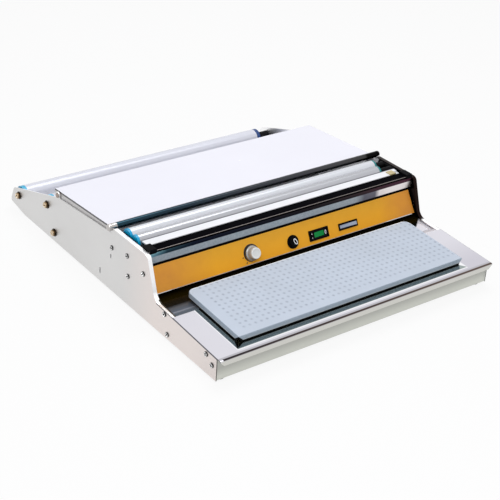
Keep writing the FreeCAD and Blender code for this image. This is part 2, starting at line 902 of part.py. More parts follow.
def control_label():
    """Printed sheet on the slanted front, cut out round the controls."""
    foot_half = inner_face - d.label_foot_gap
    top_half = inner_face - d.label_top_gap
    outline = [
        (-foot_half, 0),
        (foot_half, 0),
        (top_half, label_length),
        (-top_half, label_length),
    ]
    panel = prism(outline, "flat", -d.label_sheet, d.label_sheet)
    return node("control_label", on_label(without(panel, [label_holes()])))


def head_front_bar():
    """Polished bar with a rounded top along the front of the cutter bar."""
    back = d.front_bar_depth + d.front_bar_thickness
    outline = [
        (d.front_bar_depth, d.front_bar_foot),
        (d.front_bar_depth, d.front_bar_top, d.front_bar_round),
        (back, d.front_bar_top),
        (back, d.front_bar_foot),
    ]
    return node("head_front_bar", prism(outline, "side", -bar_half, bar_half * 2))


cutter_front = d.front_bar_depth + d.front_bar_thickness
cutter_back = cutter_front + d.cutter_width
strip_front = cutter_back + d.strip_gap
strip_back = strip_front + d.strip_width


def channel(front, back, top, half):
    """An upturned channel that stands on the deck."""
    path = [
        (front, d.deck_height),
        (front, top, d.bend_radius),
        (back, top, d.bend_radius),
        (back, d.deck_height),
    ]
    return folded(path, d.casing_sheet, -half, half * 2)


def cutter_parts():
    """Cutter bar, hot wire with its end blocks and tension leaf, strip bar, strip and clip."""
    node("cutter_bar", channel(cutter_front, cutter_back, d.cutter_top, bar_half))
    strip_foot = d.cutter_top - d.strip_thickness
    node("strip_bar", channel(strip_front, strip_back, strip_foot, strip_half))
    strip = box(-strip_half, strip_front, strip_foot, strip_half * 2, d.strip_width, d.strip_thickness)
    notch = box(strip_half - d.strip_notch, strip_front - d.strip_width / 2, strip_foot - d.strip_thickness,
                d.strip_notch * 2, d.strip_width, d.strip_thickness * 3)
    node("film_strip", without(strip, [notch]))
    clip_front = strip_front - d.strip_gap * 0.3
    clip_place = strip_half - d.clip_end_gap
    clip_path = [
        (clip_front, d.cutter_top - d.clip_lip),
        (clip_front, d.cutter_top + d.clip_sheet),
        (strip_back - d.strip_width / 3, d.cutter_top + d.clip_sheet),
        (strip_back - d.strip_width / 3, d.cutter_top),
        (strip_front, d.cutter_top),
        (strip_front, d.cutter_top - d.clip_lip),
    ]
    node("strip_clip", prism(clip_path, "side", clip_place - d.clip_length / 2, d.clip_length))
    wire_depth = cutter_front - d.wire_radius - d.wire_rise
    wire_height = d.cutter_top + d.wire_rise
    node("hot_wire", rod(-bar_half, wire_depth, wire_height, d.wire_radius, bar_half * 2))
    blocks = []
    for side in sides.values():
        start = bar_half - d.terminal_length if side > 0 else -bar_half
        foot = d.front_bar_top + d.rest_gap
        outline = [
            (d.front_bar_depth, foot),
            (d.front_bar_depth, d.cutter_top + d.terminal_rise, d.bend_radius),
            (cutter_back, d.cutter_top + d.terminal_rise, d.bend_radius),
            (cutter_back, d.cutter_top),
            (cutter_front, d.cutter_top),
            (cutter_front, foot),
        ]
        block = prism(outline, "side", start, d.terminal_length)
        bore = rod(start - 1, wire_depth, wire_height, d.wire_radius, d.terminal_length + 2)
        blocks.append(without(block, [bore]))
    node("wire_end_blocks", group(blocks))
    leaf_start = bar_half - d.terminal_length
    leaf_path = [
        (cutter_front + d.casing_sheet, d.deck_height),
        (cutter_front + d.casing_sheet, d.cutter_top - d.casing_sheet * 2 - d.bend_radius),
        (cutter_back - d.casing_sheet * 3, d.cutter_top - d.casing_sheet * 4 - d.bend_radius),
    ]
    leaf = folded(leaf_path, d.casing_sheet, leaf_start, d.terminal_length)
    node("wire_tension_leaf", leaf)


def tube(left, right, depth, height, outer, wall):
    """A round tube across the machine."""
    length = left + right
    shell = rod(-left, depth, height, outer, length)
    bore = rod(-left - 1, depth, height, outer - wall, length + 2)
    return without(shell, [bore])


def end_cap(outer, inner, bore, flange, x, depth, height, direction):
    """Stepped cap: a flange outside the tube and a plug inside it, bored for the axle."""
    corners = [
        (bore, -d.cap_plug),
        (inner, -d.cap_plug),
        (inner, 0),
        (outer, 0),
        (outer, flange),
        (bore, flange),
    ]
    return turned(corners, x, depth, height, *direction)


def roller(label, depth, height, outer, wall, axle, left, right, flange_left, flange_right):
    """A tube with a pressed cap in each end; both turn on the axle."""
    node(label, tube(left, right, depth, height, outer, wall))
    bore = axle + d.running_gap
    inner = outer - wall
    caps = [
        end_cap(outer, inner, bore, flange_left, -left, depth, height, AGAINST_X),
        end_cap(outer, inner, bore, flange_right, right, depth, height, ALONG_X),
    ]
    node(f"{label}_caps", group(caps))


def feed_rollers():
    """The pair that grips the film, its axles, sleeves and end bearings."""
    axles = []
    sleeves = []
    bearing_inner = inner_face - d.bearing_thickness
    feed_left = inner_face - d.feed_left_gap
    feed_right = {
        "front": inner_face - d.feed_front_right_gap,
        "back": inner_face - d.feed_back_right_gap,
    }
    left_inner = feed_left + d.feed_cap_left + d.rest_gap
    for name, (depth, height) in feed_axles.items():
        right_inner = feed_right[name] + d.feed_cap_right + d.rest_gap
        roller(f"{name}_feed_roller", depth, height, d.feed_radius, d.feed_wall, d.feed_axle_radius,
               feed_left, feed_right[name], d.feed_cap_left, d.feed_cap_right)
        axles.append(rod(-inner_face, depth, height, d.feed_axle_radius, inner_face * 2))
        ring = rod(right_inner, depth, height, d.feed_sleeve_radius, bearing_inner - right_inner)
        hole = rod(right_inner - 1, depth, height, d.feed_axle_radius, bearing_inner - right_inner + 2)
        sleeves.append(without(ring, [hole]))
    node("feed_axles", group(axles))
    node("feed_sleeves", group(sleeves))
    bearings = []
    length = feed_back_depth - d.feed_front_depth + d.bearing_margin * 2
    top = d.head_height - d.panel_sheet - d.rest_gap
    for side in sides.values():
        thickness = inner_face - left_inner if side < 0 else d.bearing_thickness
        start = -inner_face if side < 0 else bearing_inner
        front = d.feed_front_depth - d.bearing_margin
        outline = [
            (front, d.deck_height),
            (front, top, d.bend_radius),
            (front + length, top, d.bend_radius),
            (front + length, d.deck_height),
        ]
        block = prism(outline, "side", start, thickness)
        bores = [rod(start - 1, y, z, d.feed_axle_radius, thickness + 2) for y, z in feed_axles.values()]
        bearings.append(without(block, bores))
    node("feed_bearings", group(bearings))


def film_rollers():
    """The two large rollers that carry the film roll, their axles, sleeves and tie rod."""
    axles = []
    sleeves = []
    film_left = inner_face - d.film_left_gap
    film_right = inner_face - d.film_right_gap
    left_inner = film_left + d.film_cap_flange + d.rest_gap
    right_inner = film_right + d.film_cap_flange + d.rest_gap
    for name, (depth, height) in film_axles.items():
        roller(f"{name}_film_roller", depth, height, d.film_radius, d.film_wall, d.film_axle_radius,
               film_left, film_right, d.film_cap_flange, d.film_cap_flange)
        axles.append(screwed_bar(depth, height, d.film_axle_radius))
        for start, finish in ((-inner_face, -left_inner), (right_inner, inner_face)):
            ring = rod(start, depth, height, d.film_sleeve_radius, finish - start)
            hole = rod(start - 1, depth, height, d.film_axle_radius, finish - start + 2)
            sleeves.append(without(ring, [hole]))
    node("film_axles", group(axles))
    node("film_sleeves", group(sleeves))
    node("rear_tie_rod", screwed_bar(d.tie_depth, d.tie_height, d.tie_radius))


def screwed_bar(depth, height, radius):
    """A bar between the panels with a tapped hole in each end."""
    bar = rod(-inner_face, depth, height, radius, inner_face * 2)
    taps = []
    for start in (-inner_face - 1, inner_face - d.axle_screw_length + d.panel_sheet):
        tap_length = d.axle_screw_length - d.panel_sheet + 1
        taps.append(rod(start, depth, height, d.axle_screw_radius, tap_length))
    return without(bar, taps)


def axle_screws():
    """Brass pan-head screws with washers that hold the axles and the tie rod."""
    screws = []
    head_foot = d.axle_washer
    head_top = d.axle_washer + d.axle_screw_head
    corners = [
        (0, -d.axle_screw_length),
        (d.axle_screw_radius, -d.axle_screw_length),
        (d.axle_screw_radius, 0),
        (d.axle_washer_radius, 0),
        (d.axle_washer_radius, head_foot),
        (d.axle_screw_head_radius, head_foot),
        (d.axle_screw_head_radius, head_top - d.axle_screw_head / 2),
        (d.axle_screw_head_radius - d.axle_screw_head / 2, head_top),
        (0, head_top),
    ]
    for side in sides.values():
        direction = ALONG_X if side > 0 else AGAINST_X
        for depth, height in brass_screw_places:
            screws.append(turned(corners, half_width * side, depth, height, *direction))
    node("axle_screws", group(screws))


def panel_screws():
    """Small pan-head screws of each side panel."""
    corners = [
        (0, -d.screw_length),
        (d.screw_radius, -d.screw_length),
        (d.screw_radius, 0),
        (d.screw_head_radius, 0),
        (d.screw_head_radius, d.screw_head / 2),
        (d.screw_head_radius - d.screw_head / 2, d.screw_head),
        (0, d.screw_head),
    ]
    for side_name, side in sides.items():
        direction = ALONG_X if side > 0 else AGAINST_X
        screws = []
        for depth, height in panel_screw_places:
            screws.append(turned(corners, half_width * side, depth, height, *direction))
        node(f"{side_name}_panel_screws", group(screws))


def guide_rod():
    """Polished rod whose necks lie in the panels' notches; domed ends stick out."""
    neck = d.guide_neck_width / 2
    guide_half = half_width + d.guide_overhang
    middle = half_width - d.panel_sheet / 2
    corners = [
        (0, -guide_half),
        (d.guide_radius, -guide_half, d.guide_dome),
        (d.guide_radius, -middle - neck),
        (d.guide_neck_radius, -middle - neck),
        (d.guide_neck_radius, -middle + neck),
        (d.guide_radius, -middle + neck),
        (d.guide_radius, middle - neck),
        (d.guide_neck_radius, middle - neck),
        (d.guide_neck_radius, middle + neck),
        (d.guide_radius, middle + neck),
        (d.guide_radius, guide_half, d.guide_dome),
        (0, guide_half),
    ]
    node("guide_rod", turned(corners, 0, d.guide_depth, d.guide_height, *ALONG_X))


def cover_line(depth):
    """Height of the cover's top at a depth."""
    slope = (d.cover_back_height - d.cover_front_height) / (d.cover_back_depth - d.cover_front_depth)
    return d.cover_front_height + slope * (depth - d.cover_front_depth)


def cover():
    """Lift-up cover: folded lips front and back, deep rims inside the panels, two pivots."""
    path = [
        (d.cover_front_depth, d.cover_front_height - d.cover_lip),
        (d.cover_front_depth, d.cover_front_height, d.bend_radius),
        (d.cover_back_depth, d.cover_back_height, d.bend_radius),
        (d.cover_back_depth, d.cover_back_height - d.cover_lip),
    ]
    top = folded(path, d.casing_sheet, -cover_half, cover_half * 2)
    inset = d.casing_sheet / 2
    front = d.cover_front_depth + inset
    back = d.cover_back_depth - inset
    rim_outline = [
        (front, cover_line(front) - inset - d.bend_radius),
        (front + d.bend_radius, cover_line(front) - inset),
        (back - d.bend_radius, cover_line(back) - inset),
        (back, cover_line(back) - inset - d.bend_radius),
        (back, cover_line(back) - d.cover_rim, d.bend_radius),
        (front, cover_line(front) - d.cover_rim, d.bend_radius),
    ]
    rims = []
    for side in sides.values():
        start = cover_half - d.casing_sheet if side > 0 else -cover_half
        rims.append(prism(rim_outline, "side", start, d.casing_sheet))
    bore = rod(-half_width, d.pivot_depth, d.pivot_height, d.pivot_radius + d.running_gap, d.frame_width)
    node("cover_plate", without(join([top] + rims), [bore]))
    shank = half_width - cover_half + d.casing_sheet * 2
    spacer = inner_face - cover_half - d.rest_gap
    corners = [
        (0, -shank),
        (d.pivot_radius, -shank),
        (d.pivot_radius, -d.panel_sheet - spacer),
        (d.pivot_spacer_radius, -d.panel_sheet - spacer),
        (d.pivot_spacer_radius, -d.panel_sheet),
        (d.pivot_radius, -d.panel_sheet),
        (d.pivot_radius, 0),
        (d.pivot_screw_head, 0),
        (d.pivot_screw_head, d.screw_head / 2),
        (d.pivot_screw_head - d.screw_head / 2, d.screw_head),
        (0, d.screw_head),
    ]
    screws = [
        turned(corners, -half_width, d.pivot_depth, d.pivot_height, *AGAINST_X),
        turned(corners, half_width, d.pivot_depth, d.pivot_height, *ALONG_X),
    ]
    node("cover_pivot_screws", group(screws))
    leg_front = d.casing_back_depth + d.rest_leg_setback
    rest_back = rest_front_depth + d.rest_length
    rest_top = cover_line(rest_back) - d.cover_rim - d.rest_gap
    rests = []
    for side in sides.values():
        leg_start = inner_face - d.tray_sheet if side > 0 else -inner_face
        shelf_start = inner_face - d.rest_width if side > 0 else -inner_face
        leg = box(leg_start, leg_front, d.rest_leg_foot, d.tray_sheet,
                  rest_back - leg_front, rest_top - d.rest_leg_foot)
        ledge = box(shelf_start, rest_front_depth, rest_top - d.casing_sheet, d.rest_width,
                    d.rest_length, d.casing_sheet)
        rests.append(without(join([leg, ledge]), [screw_holes]))
    node("cover_rests", group(rests))


def slab(half, front, length, foot, top, corner):
    """A flat piece with square front and rounded back corners, in the shelf's frame."""
    outline = [
        (-half, front),
        (half, front),
        (half, front + length, corner),
        (-half, front + length, corner),
    ]
    return prism(outline, "flat", foot, as_size(top) - foot)


def heated_plate():
    """Skirted plate over the heater mat and its board, on spacers off the shelf."""
    wall = d.plate_wall
    skirt_foot = d.plate_top - d.plate_skirt
    outer = slab(plate_half, 0, d.plate_length, skirt_foot, d.plate_top, d.plate_corner_radius)
    top_height = d.plate_top.number
    soft = rounded_edges(outer, d.plate_edge_radius, lambda middle, edge: abs(middle.z - top_height) < 1e-6)
    inner_length = d.plate_length - wall * 2
    hollow = slab(plate_half - wall, wall, inner_length, skirt_foot - 1, d.plate_top - wall,
                  d.plate_corner_radius - wall)
    reliefs = []
    for side in sides.values():
        cone = add("Part::Cone", "relief")
        bind(cone, "Radius1", d.plate_relief * 1.2)
        bind(cone, "Radius2", 0)
        bind(cone, "Height", d.plate_skirt + d.rest_gap)
        reliefs.append(place(cone, plate_half * side, 0, skirt_foot - 1))
    node("heated_plate", on_shelf(without(soft, [hollow] + reliefs)))
    margin = d.stack_margin
    mat_top = d.plate_top - wall
    board_top = mat_top - d.mat_thickness
    board_foot = board_top - d.board_thickness
    inner_half = plate_half - margin
    inner_corner = d.plate_corner_radius - wall * 3
    stack_length = d.plate_length - margin * 2
    mat = slab(inner_half, margin, stack_length, board_top, mat_top, inner_corner)
    node("heater_mat", on_shelf(group([mat])))
    board = slab(inner_half, margin, stack_length, board_foot, board_top, inner_corner)
    node("heater_board", on_shelf(group([board])))
    spacers = []
    for across in (-inner_half + d.spacer_inset, inner_half - d.spacer_inset):
        for along in (d.spacer_inset, d.plate_length - d.spacer_inset):
            spacers.append(rod(across, along, 0, d.spacer_radius, board_foot, "z"))
    node("plate_spacers", on_shelf(group(spacers)))


def heat_knob():
    """Stepped fluted knob on the thermostat's shaft, and the thermostat behind the label."""
    gap = d.rest_gap * 2
    cavity = d.nut_height + gap * 2
    bore_top = d.knob_height - d.knob_roof
    corners = [
        (d.nut_radius + d.knob_wall, gap),
        (d.knob_skirt_radius, gap),
        (d.knob_skirt_radius, d.knob_skirt - d.knob_chamfer),
        (d.knob_skirt_radius - d.knob_chamfer, d.knob_skirt),
        (d.knob_radius, d.knob_skirt),
        (d.knob_top_radius, d.knob_height - d.knob_chamfer),
        (d.knob_top_radius - d.knob_chamfer, d.knob_height),
        (0, d.knob_height),
        (0, bore_top),
        (d.shaft_radius, bore_top),
        (d.shaft_radius, cavity),
        (d.nut_radius + d.knob_wall, cavity),
    ]
    body = turned(corners, d.knob_place, d.knob_rise, 0)
    document.recompute()
    spin = body.Tip
    flute = body.newObject("Sketcher::SketchObject", "knob_flute")
    flute.AttachmentSupport = [(plane_of(body, "XY_Plane"), "")]
    flute.MapMode = "FlatFace"
    flute_place = d.knob_radius + d.knob_flute_setout
    ring = flute.addGeometry(Part.Circle(Vector(flute_place.number, 0, 0), Vector(0, 0, 1), 1), False)
    spot = flute.addConstraint(Sketcher.Constraint("DistanceX", -1, 1, ring, 3, flute_place.number))
    flute.setExpression(f"Constraints[{spot}]", flute_place.formula)
    flute.addConstraint(Sketcher.Constraint("PointOnObject", ring, 3, -1))
    size = flute.addConstraint(Sketcher.Constraint("Radius", ring, d.knob_flute_radius.number))
    flute.setExpression(f"Constraints[{size}]", d.knob_flute_radius.formula)
    flute.setExpression(".AttachmentOffset.Base.z", (d.knob_skirt + d.knob_chamfer).formula)
    document.recompute()
    groove = body.newObject("PartDesign::Pocket", "knob_groove")
    groove.Profile = flute
    groove.Reversed = True
    bind(groove, "Length", d.knob_height)
    document.recompute()
    assert groove.Shape.Volume < spin.Shape.Volume - 1
    pattern = body.newObject("PartDesign::PolarPattern", "knob_grooves")
    pattern.Originals = [groove]
    pattern.Axis = (flute, ["N_Axis"])
    pattern.Angle = 360.0
    pattern.Occurrences = 16
    body.Tip = pattern
    node("heat_knob", seat_on_label(body, d.knob_place, d.knob_rise))
    shaft_foot = -d.thermostat_depth / 2
    shaft = rod(d.knob_place, d.knob_rise, shaft_foot, d.shaft_radius, bore_top - shaft_foot, "z")
    node("thermostat_shaft", on_label(group([shaft])))
    back = -(d.label_sheet + d.casing_sheet)
    bore = d.shaft_radius + d.running_gap
    profile = [
        (bore, shaft_foot - d.rest_gap),
        (bore, d.nut_height),
        (d.nut_radius, d.nut_height),
        (d.nut_radius, 0),
        (d.bushing_radius, 0),
        (d.bushing_radius, back),
        (d.thermostat_radius, back),
        (d.thermostat_radius, -d.thermostat_depth),
        (0, -d.thermostat_depth),
        (0, shaft_foot - d.rest_gap),
    ]
    node("thermostat", seat_on_label(turned(profile), d.knob_place, d.knob_rise))


def seat_on_label(thing, across, rise):
    """Stand a turned body on the label's slope at (across, rise)."""
    depth = d.label_foot_depth + rise * label_run / label_length
    height = d.label_foot_height + rise * label_climb / label_length
    return place(thing, across, depth, height, Vector(1, 0, 0), label_angle)


def fuse_parts():
    """Round fuse holder with a slotted turn cap and the glass fuse on the cap."""
    bore = d.fuse_plug_radius + d.running_gap
    profile = [
        (bore, -d.fuse_barrel + d.fuse_floor),
        (bore, d.fuse_flange),
        (d.fuse_flange_radius, d.fuse_flange, d.fuse_flange * 0.4),
        (d.fuse_flange_radius, 0),
        (d.fuse_barrel_radius, 0),
        (d.fuse_barrel_radius, -d.fuse_barrel),
        (0, -d.fuse_barrel),
        (0, -d.fuse_barrel + d.fuse_floor),
    ]
    node("fuse_holder", seat_on_label(turned(profile), d.fuse_place, d.control_rise))
    cap_foot = d.fuse_flange + d.rest_gap
    cap_top = cap_foot + d.fuse_cap_height
    cap_profile = [
        (0, -d.fuse_plug),
        (d.fuse_plug_radius, -d.fuse_plug),
        (d.fuse_plug_radius, cap_foot),
        (d.fuse_cap_radius, cap_foot),
        (d.fuse_cap_radius, cap_top, d.fuse_cap_height / 4),
        (0, cap_top),
    ]
    cap = turned(cap_profile, d.fuse_place, d.control_rise, 0)
    slot_length = d.fuse_cap_radius * 1.1
    slot = box(d.fuse_place - d.fuse_slot / 2, d.control_rise - slot_length / 2,
               cap_top - d.fuse_slot_depth, d.fuse_slot, slot_length, d.fuse_slot_depth * 2)
    node("fuse_cap", on_label(without(cap, [slot])))
    glass = rod(d.fuse_place, d.control_rise, -d.fuse_plug - d.fuse_glass, d.fuse_glass_radius,
                d.fuse_glass, "z")
    node("glass_fuse", on_label(group([glass])))


def rocker_switch(name, has_lens, tilt):
    """Bezel with a pocket, and a tilted rocker on a pin; the lens fills a window in it."""
    across, width = switches[name]
    length = d.switch_length
    body_length = length - d.bezel_flange * 2
    body_width = width - d.bezel_flange * 2
    pocket_length = body_length - d.switch_end_wall * 2
    pocket_width = body_width - d.switch_side_wall * 2
    flange = box(across - length / 2, d.control_rise - width / 2, 0, length, width, d.bezel_rise)
    body = box(across - body_length / 2, d.control_rise - body_width / 2, -d.switch_depth,
               body_length, body_width, d.switch_depth)
    pocket = box(across - pocket_length / 2, d.control_rise - pocket_width / 2, -d.switch_pocket,
                 pocket_length, pocket_width, d.switch_pocket * 2)
    pivot_height = -d.rocker_pivot_depth
    pin_half = pocket_width / 2 + d.switch_side_wall * 0.8
    bore_half = pin_half + d.running_gap * 2
    bore = rod(across, d.control_rise - bore_half, pivot_height, d.rocker_pin_radius + d.running_gap,
               bore_half * 2, "y")
    node(f"{name}_bezel", on_label(without(join([flange, body]), [pocket, bore])))
    half = pocket_length / 2 - d.rocker_end_gap
    rocker_half_width = pocket_width / 2 - d.rest_gap
    outline = [
        (-half, -d.rocker_foot, d.rocker_round * 2),
        (half, -d.rocker_foot, d.rocker_round * 2),
        (half, d.rocker_crest, d.rocker_round),
        (0, d.rocker_valley),
        (-half, d.rocker_crest, d.rocker_round),
    ]
    blank = prism(outline, "front", -rocker_half_width, rocker_half_width * 2)
    pin = rod(0, -pin_half, 0, d.rocker_pin_radius, pin_half * 2, "y")
    tilt_turn = (Vector(0, 1, 0), tilt)
    if has_lens:
        window = box(-d.lens_length / 2, -d.lens_width / 2, d.rocker_valley - d.lens_depth,
                     d.lens_length, d.lens_width, d.lens_depth * 5)
        lens = shared(blank, window)
        place(lens, across, d.control_rise, pivot_height, *tilt_turn)
        node(f"{name}_lens", on_label(group([lens])))
    rocker = join([blank, pin])
    if has_lens:
        rocker = without(rocker, [window])
    place(rocker, across, d.control_rise, pivot_height, *tilt_turn)
    node(f"{name}_rocker", on_label(group([rocker])))


def inner_parts():
    """Transformer on the base inside the head, and the cord gland in the casing's back."""
    length = d.transformer_length
    width = d.transformer_width
    middle = (d.hem_return_depth + d.casing_back_depth) / 2
    start = inner_face - d.transformer_side_gap - length / 2
    core = box(start, middle - width / 4, d.tray_sheet, length, width / 2, d.transformer_height)
    coil = box(start + length / 5, middle - width / 2, d.tray_sheet + d.coil_margin, length * 0.6, width,
               d.transformer_height - d.coil_margin * 2)
    node("wire_transformer", join([core, coil]))
    profile = [
        (d.gland_bore, -d.gland_thread),
        (d.gland_radius, -d.gland_thread),
        (d.gland_radius, 0),
        (d.gland_radius + d.gland_nut_margin, 0),
        (d.gland_radius + d.gland_nut_margin, d.gland_nut),
        (d.gland_radius, d.gland_nut),
        (d.gland_bore * 1.5, d.gland_reach),
        (d.gland_bore, d.gland_reach),
    ]
    node("cord_gland", turned(profile, inner_face - d.gland_side_gap, d.casing_back_depth, d.gland_height,
                              *ALONG_Y))


def feet():
    """Four rubber feet, each held by a screw through the base plate."""
    pads = []
    screws = []
    recess_radius = d.screw_head_radius + d.foot_bore_gap
    head_foot = -d.foot_recess - d.foot_screw_head
    screw_top = d.tray_sheet * 3
    pad_profile = [
        (d.screw_radius, -d.foot_recess),
        (recess_radius, -d.foot_recess),
        (recess_radius, -d.foot_height),
        (d.foot_radius, -d.foot_height),
        (d.foot_top_radius, 0),
        (d.screw_radius, 0),
    ]
    screw_profile = [
        (0, screw_top),
        (0, head_foot),
        (d.screw_head_radius, head_foot),
        (d.screw_head_radius, -d.foot_recess),
        (d.screw_radius, -d.foot_recess),
        (d.screw_radius, screw_top),
    ]
    for x, y in foot_places():
        pads.append(turned(pad_profile, x, y, 0))
        screws.append(turned(screw_profile, x, y, 0))
    node("rubber_feet", group(pads))
    node("foot_screws", group(screws))


side_panel("left")
side_panel("right")
base_plate()
front_apron()
front_shelf()
trough_plate()
head_casing()
control_label()
head_front_bar()
cutter_parts()
feed_rollers()
film_rollers()
axle_screws()
panel_screws()
guide_rod()
cover()
heated_plate()
heat_knob()
fuse_parts()
rocker_switch("cutter_switch", True, d.rocker_tilt)
rocker_switch("main_switch", False, -d.rocker_tilt)
inner_parts()
feet()
document.recompute()

for thing in document.Objects:
    if "Invalid" in thing.State or "Error" in thing.State:
        raise RuntimeError(f"{thing.Name} ({thing.Label}) failed: {thing.State}")
os.makedirs("parts", exist_ok=True)
for label, thing in nodes.items():
    shape = thing.Shape
    if shape.isNull() or not shape.isValid() or not shape.Solids:
        raise RuntimeError(f"{label} has no valid solid")
    shape.exportStep(f"parts/{label}.step")
    bounds = shape.BoundBox
    print(f"{label}: {len(shape.Solids)} solids, {shape.Volume / 1000:.1f} cm3, "
          f"x {bounds.XMin:.1f}..{bounds.XMax:.1f}, y {bounds.YMin:.1f}..{bounds.YMax:.1f}, "
          f"z {bounds.ZMin:.1f}..{bounds.ZMax:.1f}")
print(f"{len(nodes)} nodes")
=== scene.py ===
import math
from types import SimpleNamespace

import bpy
import numpy as np
from mathutils import Matrix, Vector


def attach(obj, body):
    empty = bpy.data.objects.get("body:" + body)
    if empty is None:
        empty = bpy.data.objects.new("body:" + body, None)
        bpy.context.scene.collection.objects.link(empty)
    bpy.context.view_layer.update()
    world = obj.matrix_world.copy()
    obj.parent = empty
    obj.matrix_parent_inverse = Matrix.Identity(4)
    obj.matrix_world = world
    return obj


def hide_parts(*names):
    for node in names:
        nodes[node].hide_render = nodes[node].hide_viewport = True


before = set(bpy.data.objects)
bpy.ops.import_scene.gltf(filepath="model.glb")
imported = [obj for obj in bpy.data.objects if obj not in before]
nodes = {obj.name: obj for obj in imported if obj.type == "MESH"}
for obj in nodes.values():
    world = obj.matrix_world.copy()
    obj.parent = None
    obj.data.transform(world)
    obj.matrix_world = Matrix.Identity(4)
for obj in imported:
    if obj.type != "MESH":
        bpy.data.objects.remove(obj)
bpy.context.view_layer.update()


# The label's own frame, in millimetres: its foot's middle, and its three directions.
MM = 0.001
LABEL_FOOT = np.array((0.0, -151.7, 60.1))
LABEL_ACROSS = np.array((1.0, 0.0, 0.0))
LABEL_UP = np.array((0.0, 0.42215, 0.90652))
LABEL_OUT = np.array((0.0, -0.90652, 0.42215))

# In metres: the distances from the middle plane between which a side panel's outer face starts,
# the rise of the shelf's underside per metre of depth, its height over the frame's middle, and
# the fall of the cover per metre of depth.
PANEL_FACE = (0.2921, 0.2923)
SHELF_SLOPE = 9.2 / 177.2
SHELF_LINE = 0.0452 + 0.3377 * SHELF_SLOPE
COVER_FALL = 0.06736

# The flat normal's upward part, for faces that count as a top.
TOP_FACE = (0.90, 0.97)


# Materials. Every pattern is laid out on Object coordinates, in metres.


def finish(name, color, roughness, metallic=0.0, **sockets):
    """A Principled material with its Object coordinates at hand."""
    made = bpy.data.materials.new(name)
    made.use_nodes = True
    tree = made.node_tree
    shader = tree.nodes["Principled BSDF"]
    shader.inputs["Base Color"].default_value = (*color, 1.0)
    shader.inputs["Roughness"].default_value = roughness
    shader.inputs["Metallic"].default_value = metallic
    for socket, value in sockets.items():
        shader.inputs[socket.replace("_", " ")].default_value = value
    places = tree.nodes.new("ShaderNodeTexCoord").outputs["Object"]
    return SimpleNamespace(material=made, tree=tree, shader=shader, places=places, color=color)


def stretched(look, scale, shift=(0.0, 0.0, 0.0)):
    """Object coordinates moved by a shift, then scaled by a factor for each axis."""
    mapping = look.tree.nodes.new("ShaderNodeMapping")
    mapping.vector_type = "TEXTURE"
    mapping.inputs["Location"].default_value = shift
    mapping.inputs["Scale"].default_value = [1.0 / factor for factor in scale]
    look.tree.links.new(look.places, mapping.inputs["Vector"])
    return mapping.outputs["Vector"]


def noise(look, scale, detail=4.0, roughness=0.6):
    """A noise value from 0 to 1 over stretched coordinates."""
    cloud = look.tree.nodes.new("ShaderNodeTexNoise")
    cloud.inputs["Scale"].default_value = 1.0
    cloud.inputs["Detail"].default_value = detail
    cloud.inputs["Roughness"].default_value = roughness
    look.tree.links.new(stretched(look, scale), cloud.inputs["Vector"])
    return cloud.outputs["Fac"]


def spread(look, value, low, high, start=0.3, stop=0.7):
    """The value carried from start..stop to low..high."""
    ranged = look.tree.nodes.new("ShaderNodeMapRange")
    ranged.inputs["From Min"].default_value = start
    ranged.inputs["From Max"].default_value = stop
    ranged.inputs["To Min"].default_value = low
    ranged.inputs["To Max"].default_value = high
    look.tree.links.new(value, ranged.inputs["Value"])
    return ranged.outputs["Result"]


def rising(look, value, start=0.3, stop=0.7):
    """0 up to start, 1 from stop on, straight between them."""
    return spread(look, value, 0.0, 1.0, start, stop)


def falling(look, value, start, stop):
    """1 up to start, 0 from stop on, straight between them."""
    return spread(look, value, 1.0, 0.0, start, stop)


def combined(look, operation, one, other):
    """A Math node over two values or numbers."""
    made = look.tree.nodes.new("ShaderNodeMath")
    made.operation = operation
    for socket, thing in zip(made.inputs, (one, other)):
        if isinstance(thing, (int, float)):
            socket.default_value = thing
        else:
            look.tree.links.new(thing, socket)
    return made.outputs["Value"]


def both(look, one, other):
    """1 where both masks are 1."""
    return combined(look, "MULTIPLY", one, other)


def either(look, one, other):
    """1 where one of the masks is 1."""
    return combined(look, "MAXIMUM", one, other)


def outside_of(look, mask):
    """1 where the mask is 0."""
    return combined(look, "SUBTRACT", 1.0, mask)


def blended(look, value, first, second):
    """A colour that goes from first to second with the value."""
    mix = look.tree.nodes.new("ShaderNodeMix")
    mix.data_type = "RGBA"
    for socket, thing in ((mix.inputs[6], first), (mix.inputs[7], second)):
        if isinstance(thing, tuple):
            socket.default_value = (*thing, 1.0)
        else:
            look.tree.links.new(thing, socket)
    look.tree.links.new(value, mix.inputs[0])
    return mix.outputs[2]


def shade(look, value, amount):
    """Darken and lighten the base colour by an amount around its own tone."""
    dark = tuple(channel * (1.0 - amount) for channel in look.color)
    light = tuple(min(1.0, channel * (1.0 + amount)) for channel in look.color)
    toned = blended(look, rising(look, value), dark, light)
    paint(look, toned)
    return toned


def paint(look, color):
    """The base colour follows the given one."""
    look.tree.links.new(color, look.shader.inputs["Base Color"])


def roughen(look, value, low, high):
    """Roughness that goes from low to high with the value."""
    look.tree.links.new(spread(look, value, low, high), look.shader.inputs["Roughness"])


def emboss(look, value, depth):
    """Bump from the value, at a depth in metres."""
    bump = look.tree.nodes.new("ShaderNodeBump")
    bump.inputs["Strength"].default_value = 1.0
    bump.inputs["Distance"].default_value = depth
    look.tree.links.new(value, bump.inputs["Height"])
    look.tree.links.new(bump.outputs["Normal"], look.shader.inputs["Normal"])


def along(look, axis):
    """One Object coordinate."""
    parts = look.tree.nodes.new("ShaderNodeSeparateXYZ")
    look.tree.links.new(look.places, parts.inputs["Vector"])
    return parts.outputs[axis]


def sideways(look):
    """Distance from the machine's middle plane, to either side."""
    return combined(look, "ABSOLUTE", along(look, "X"), 0.0)


def above(look, slope):
    """Height over a plane through the frame's middle that rises by slope per metre of depth."""
    return combined(look, "SUBTRACT", along(look, "Z"),
                    combined(look, "MULTIPLY", along(look, "Y"), slope))


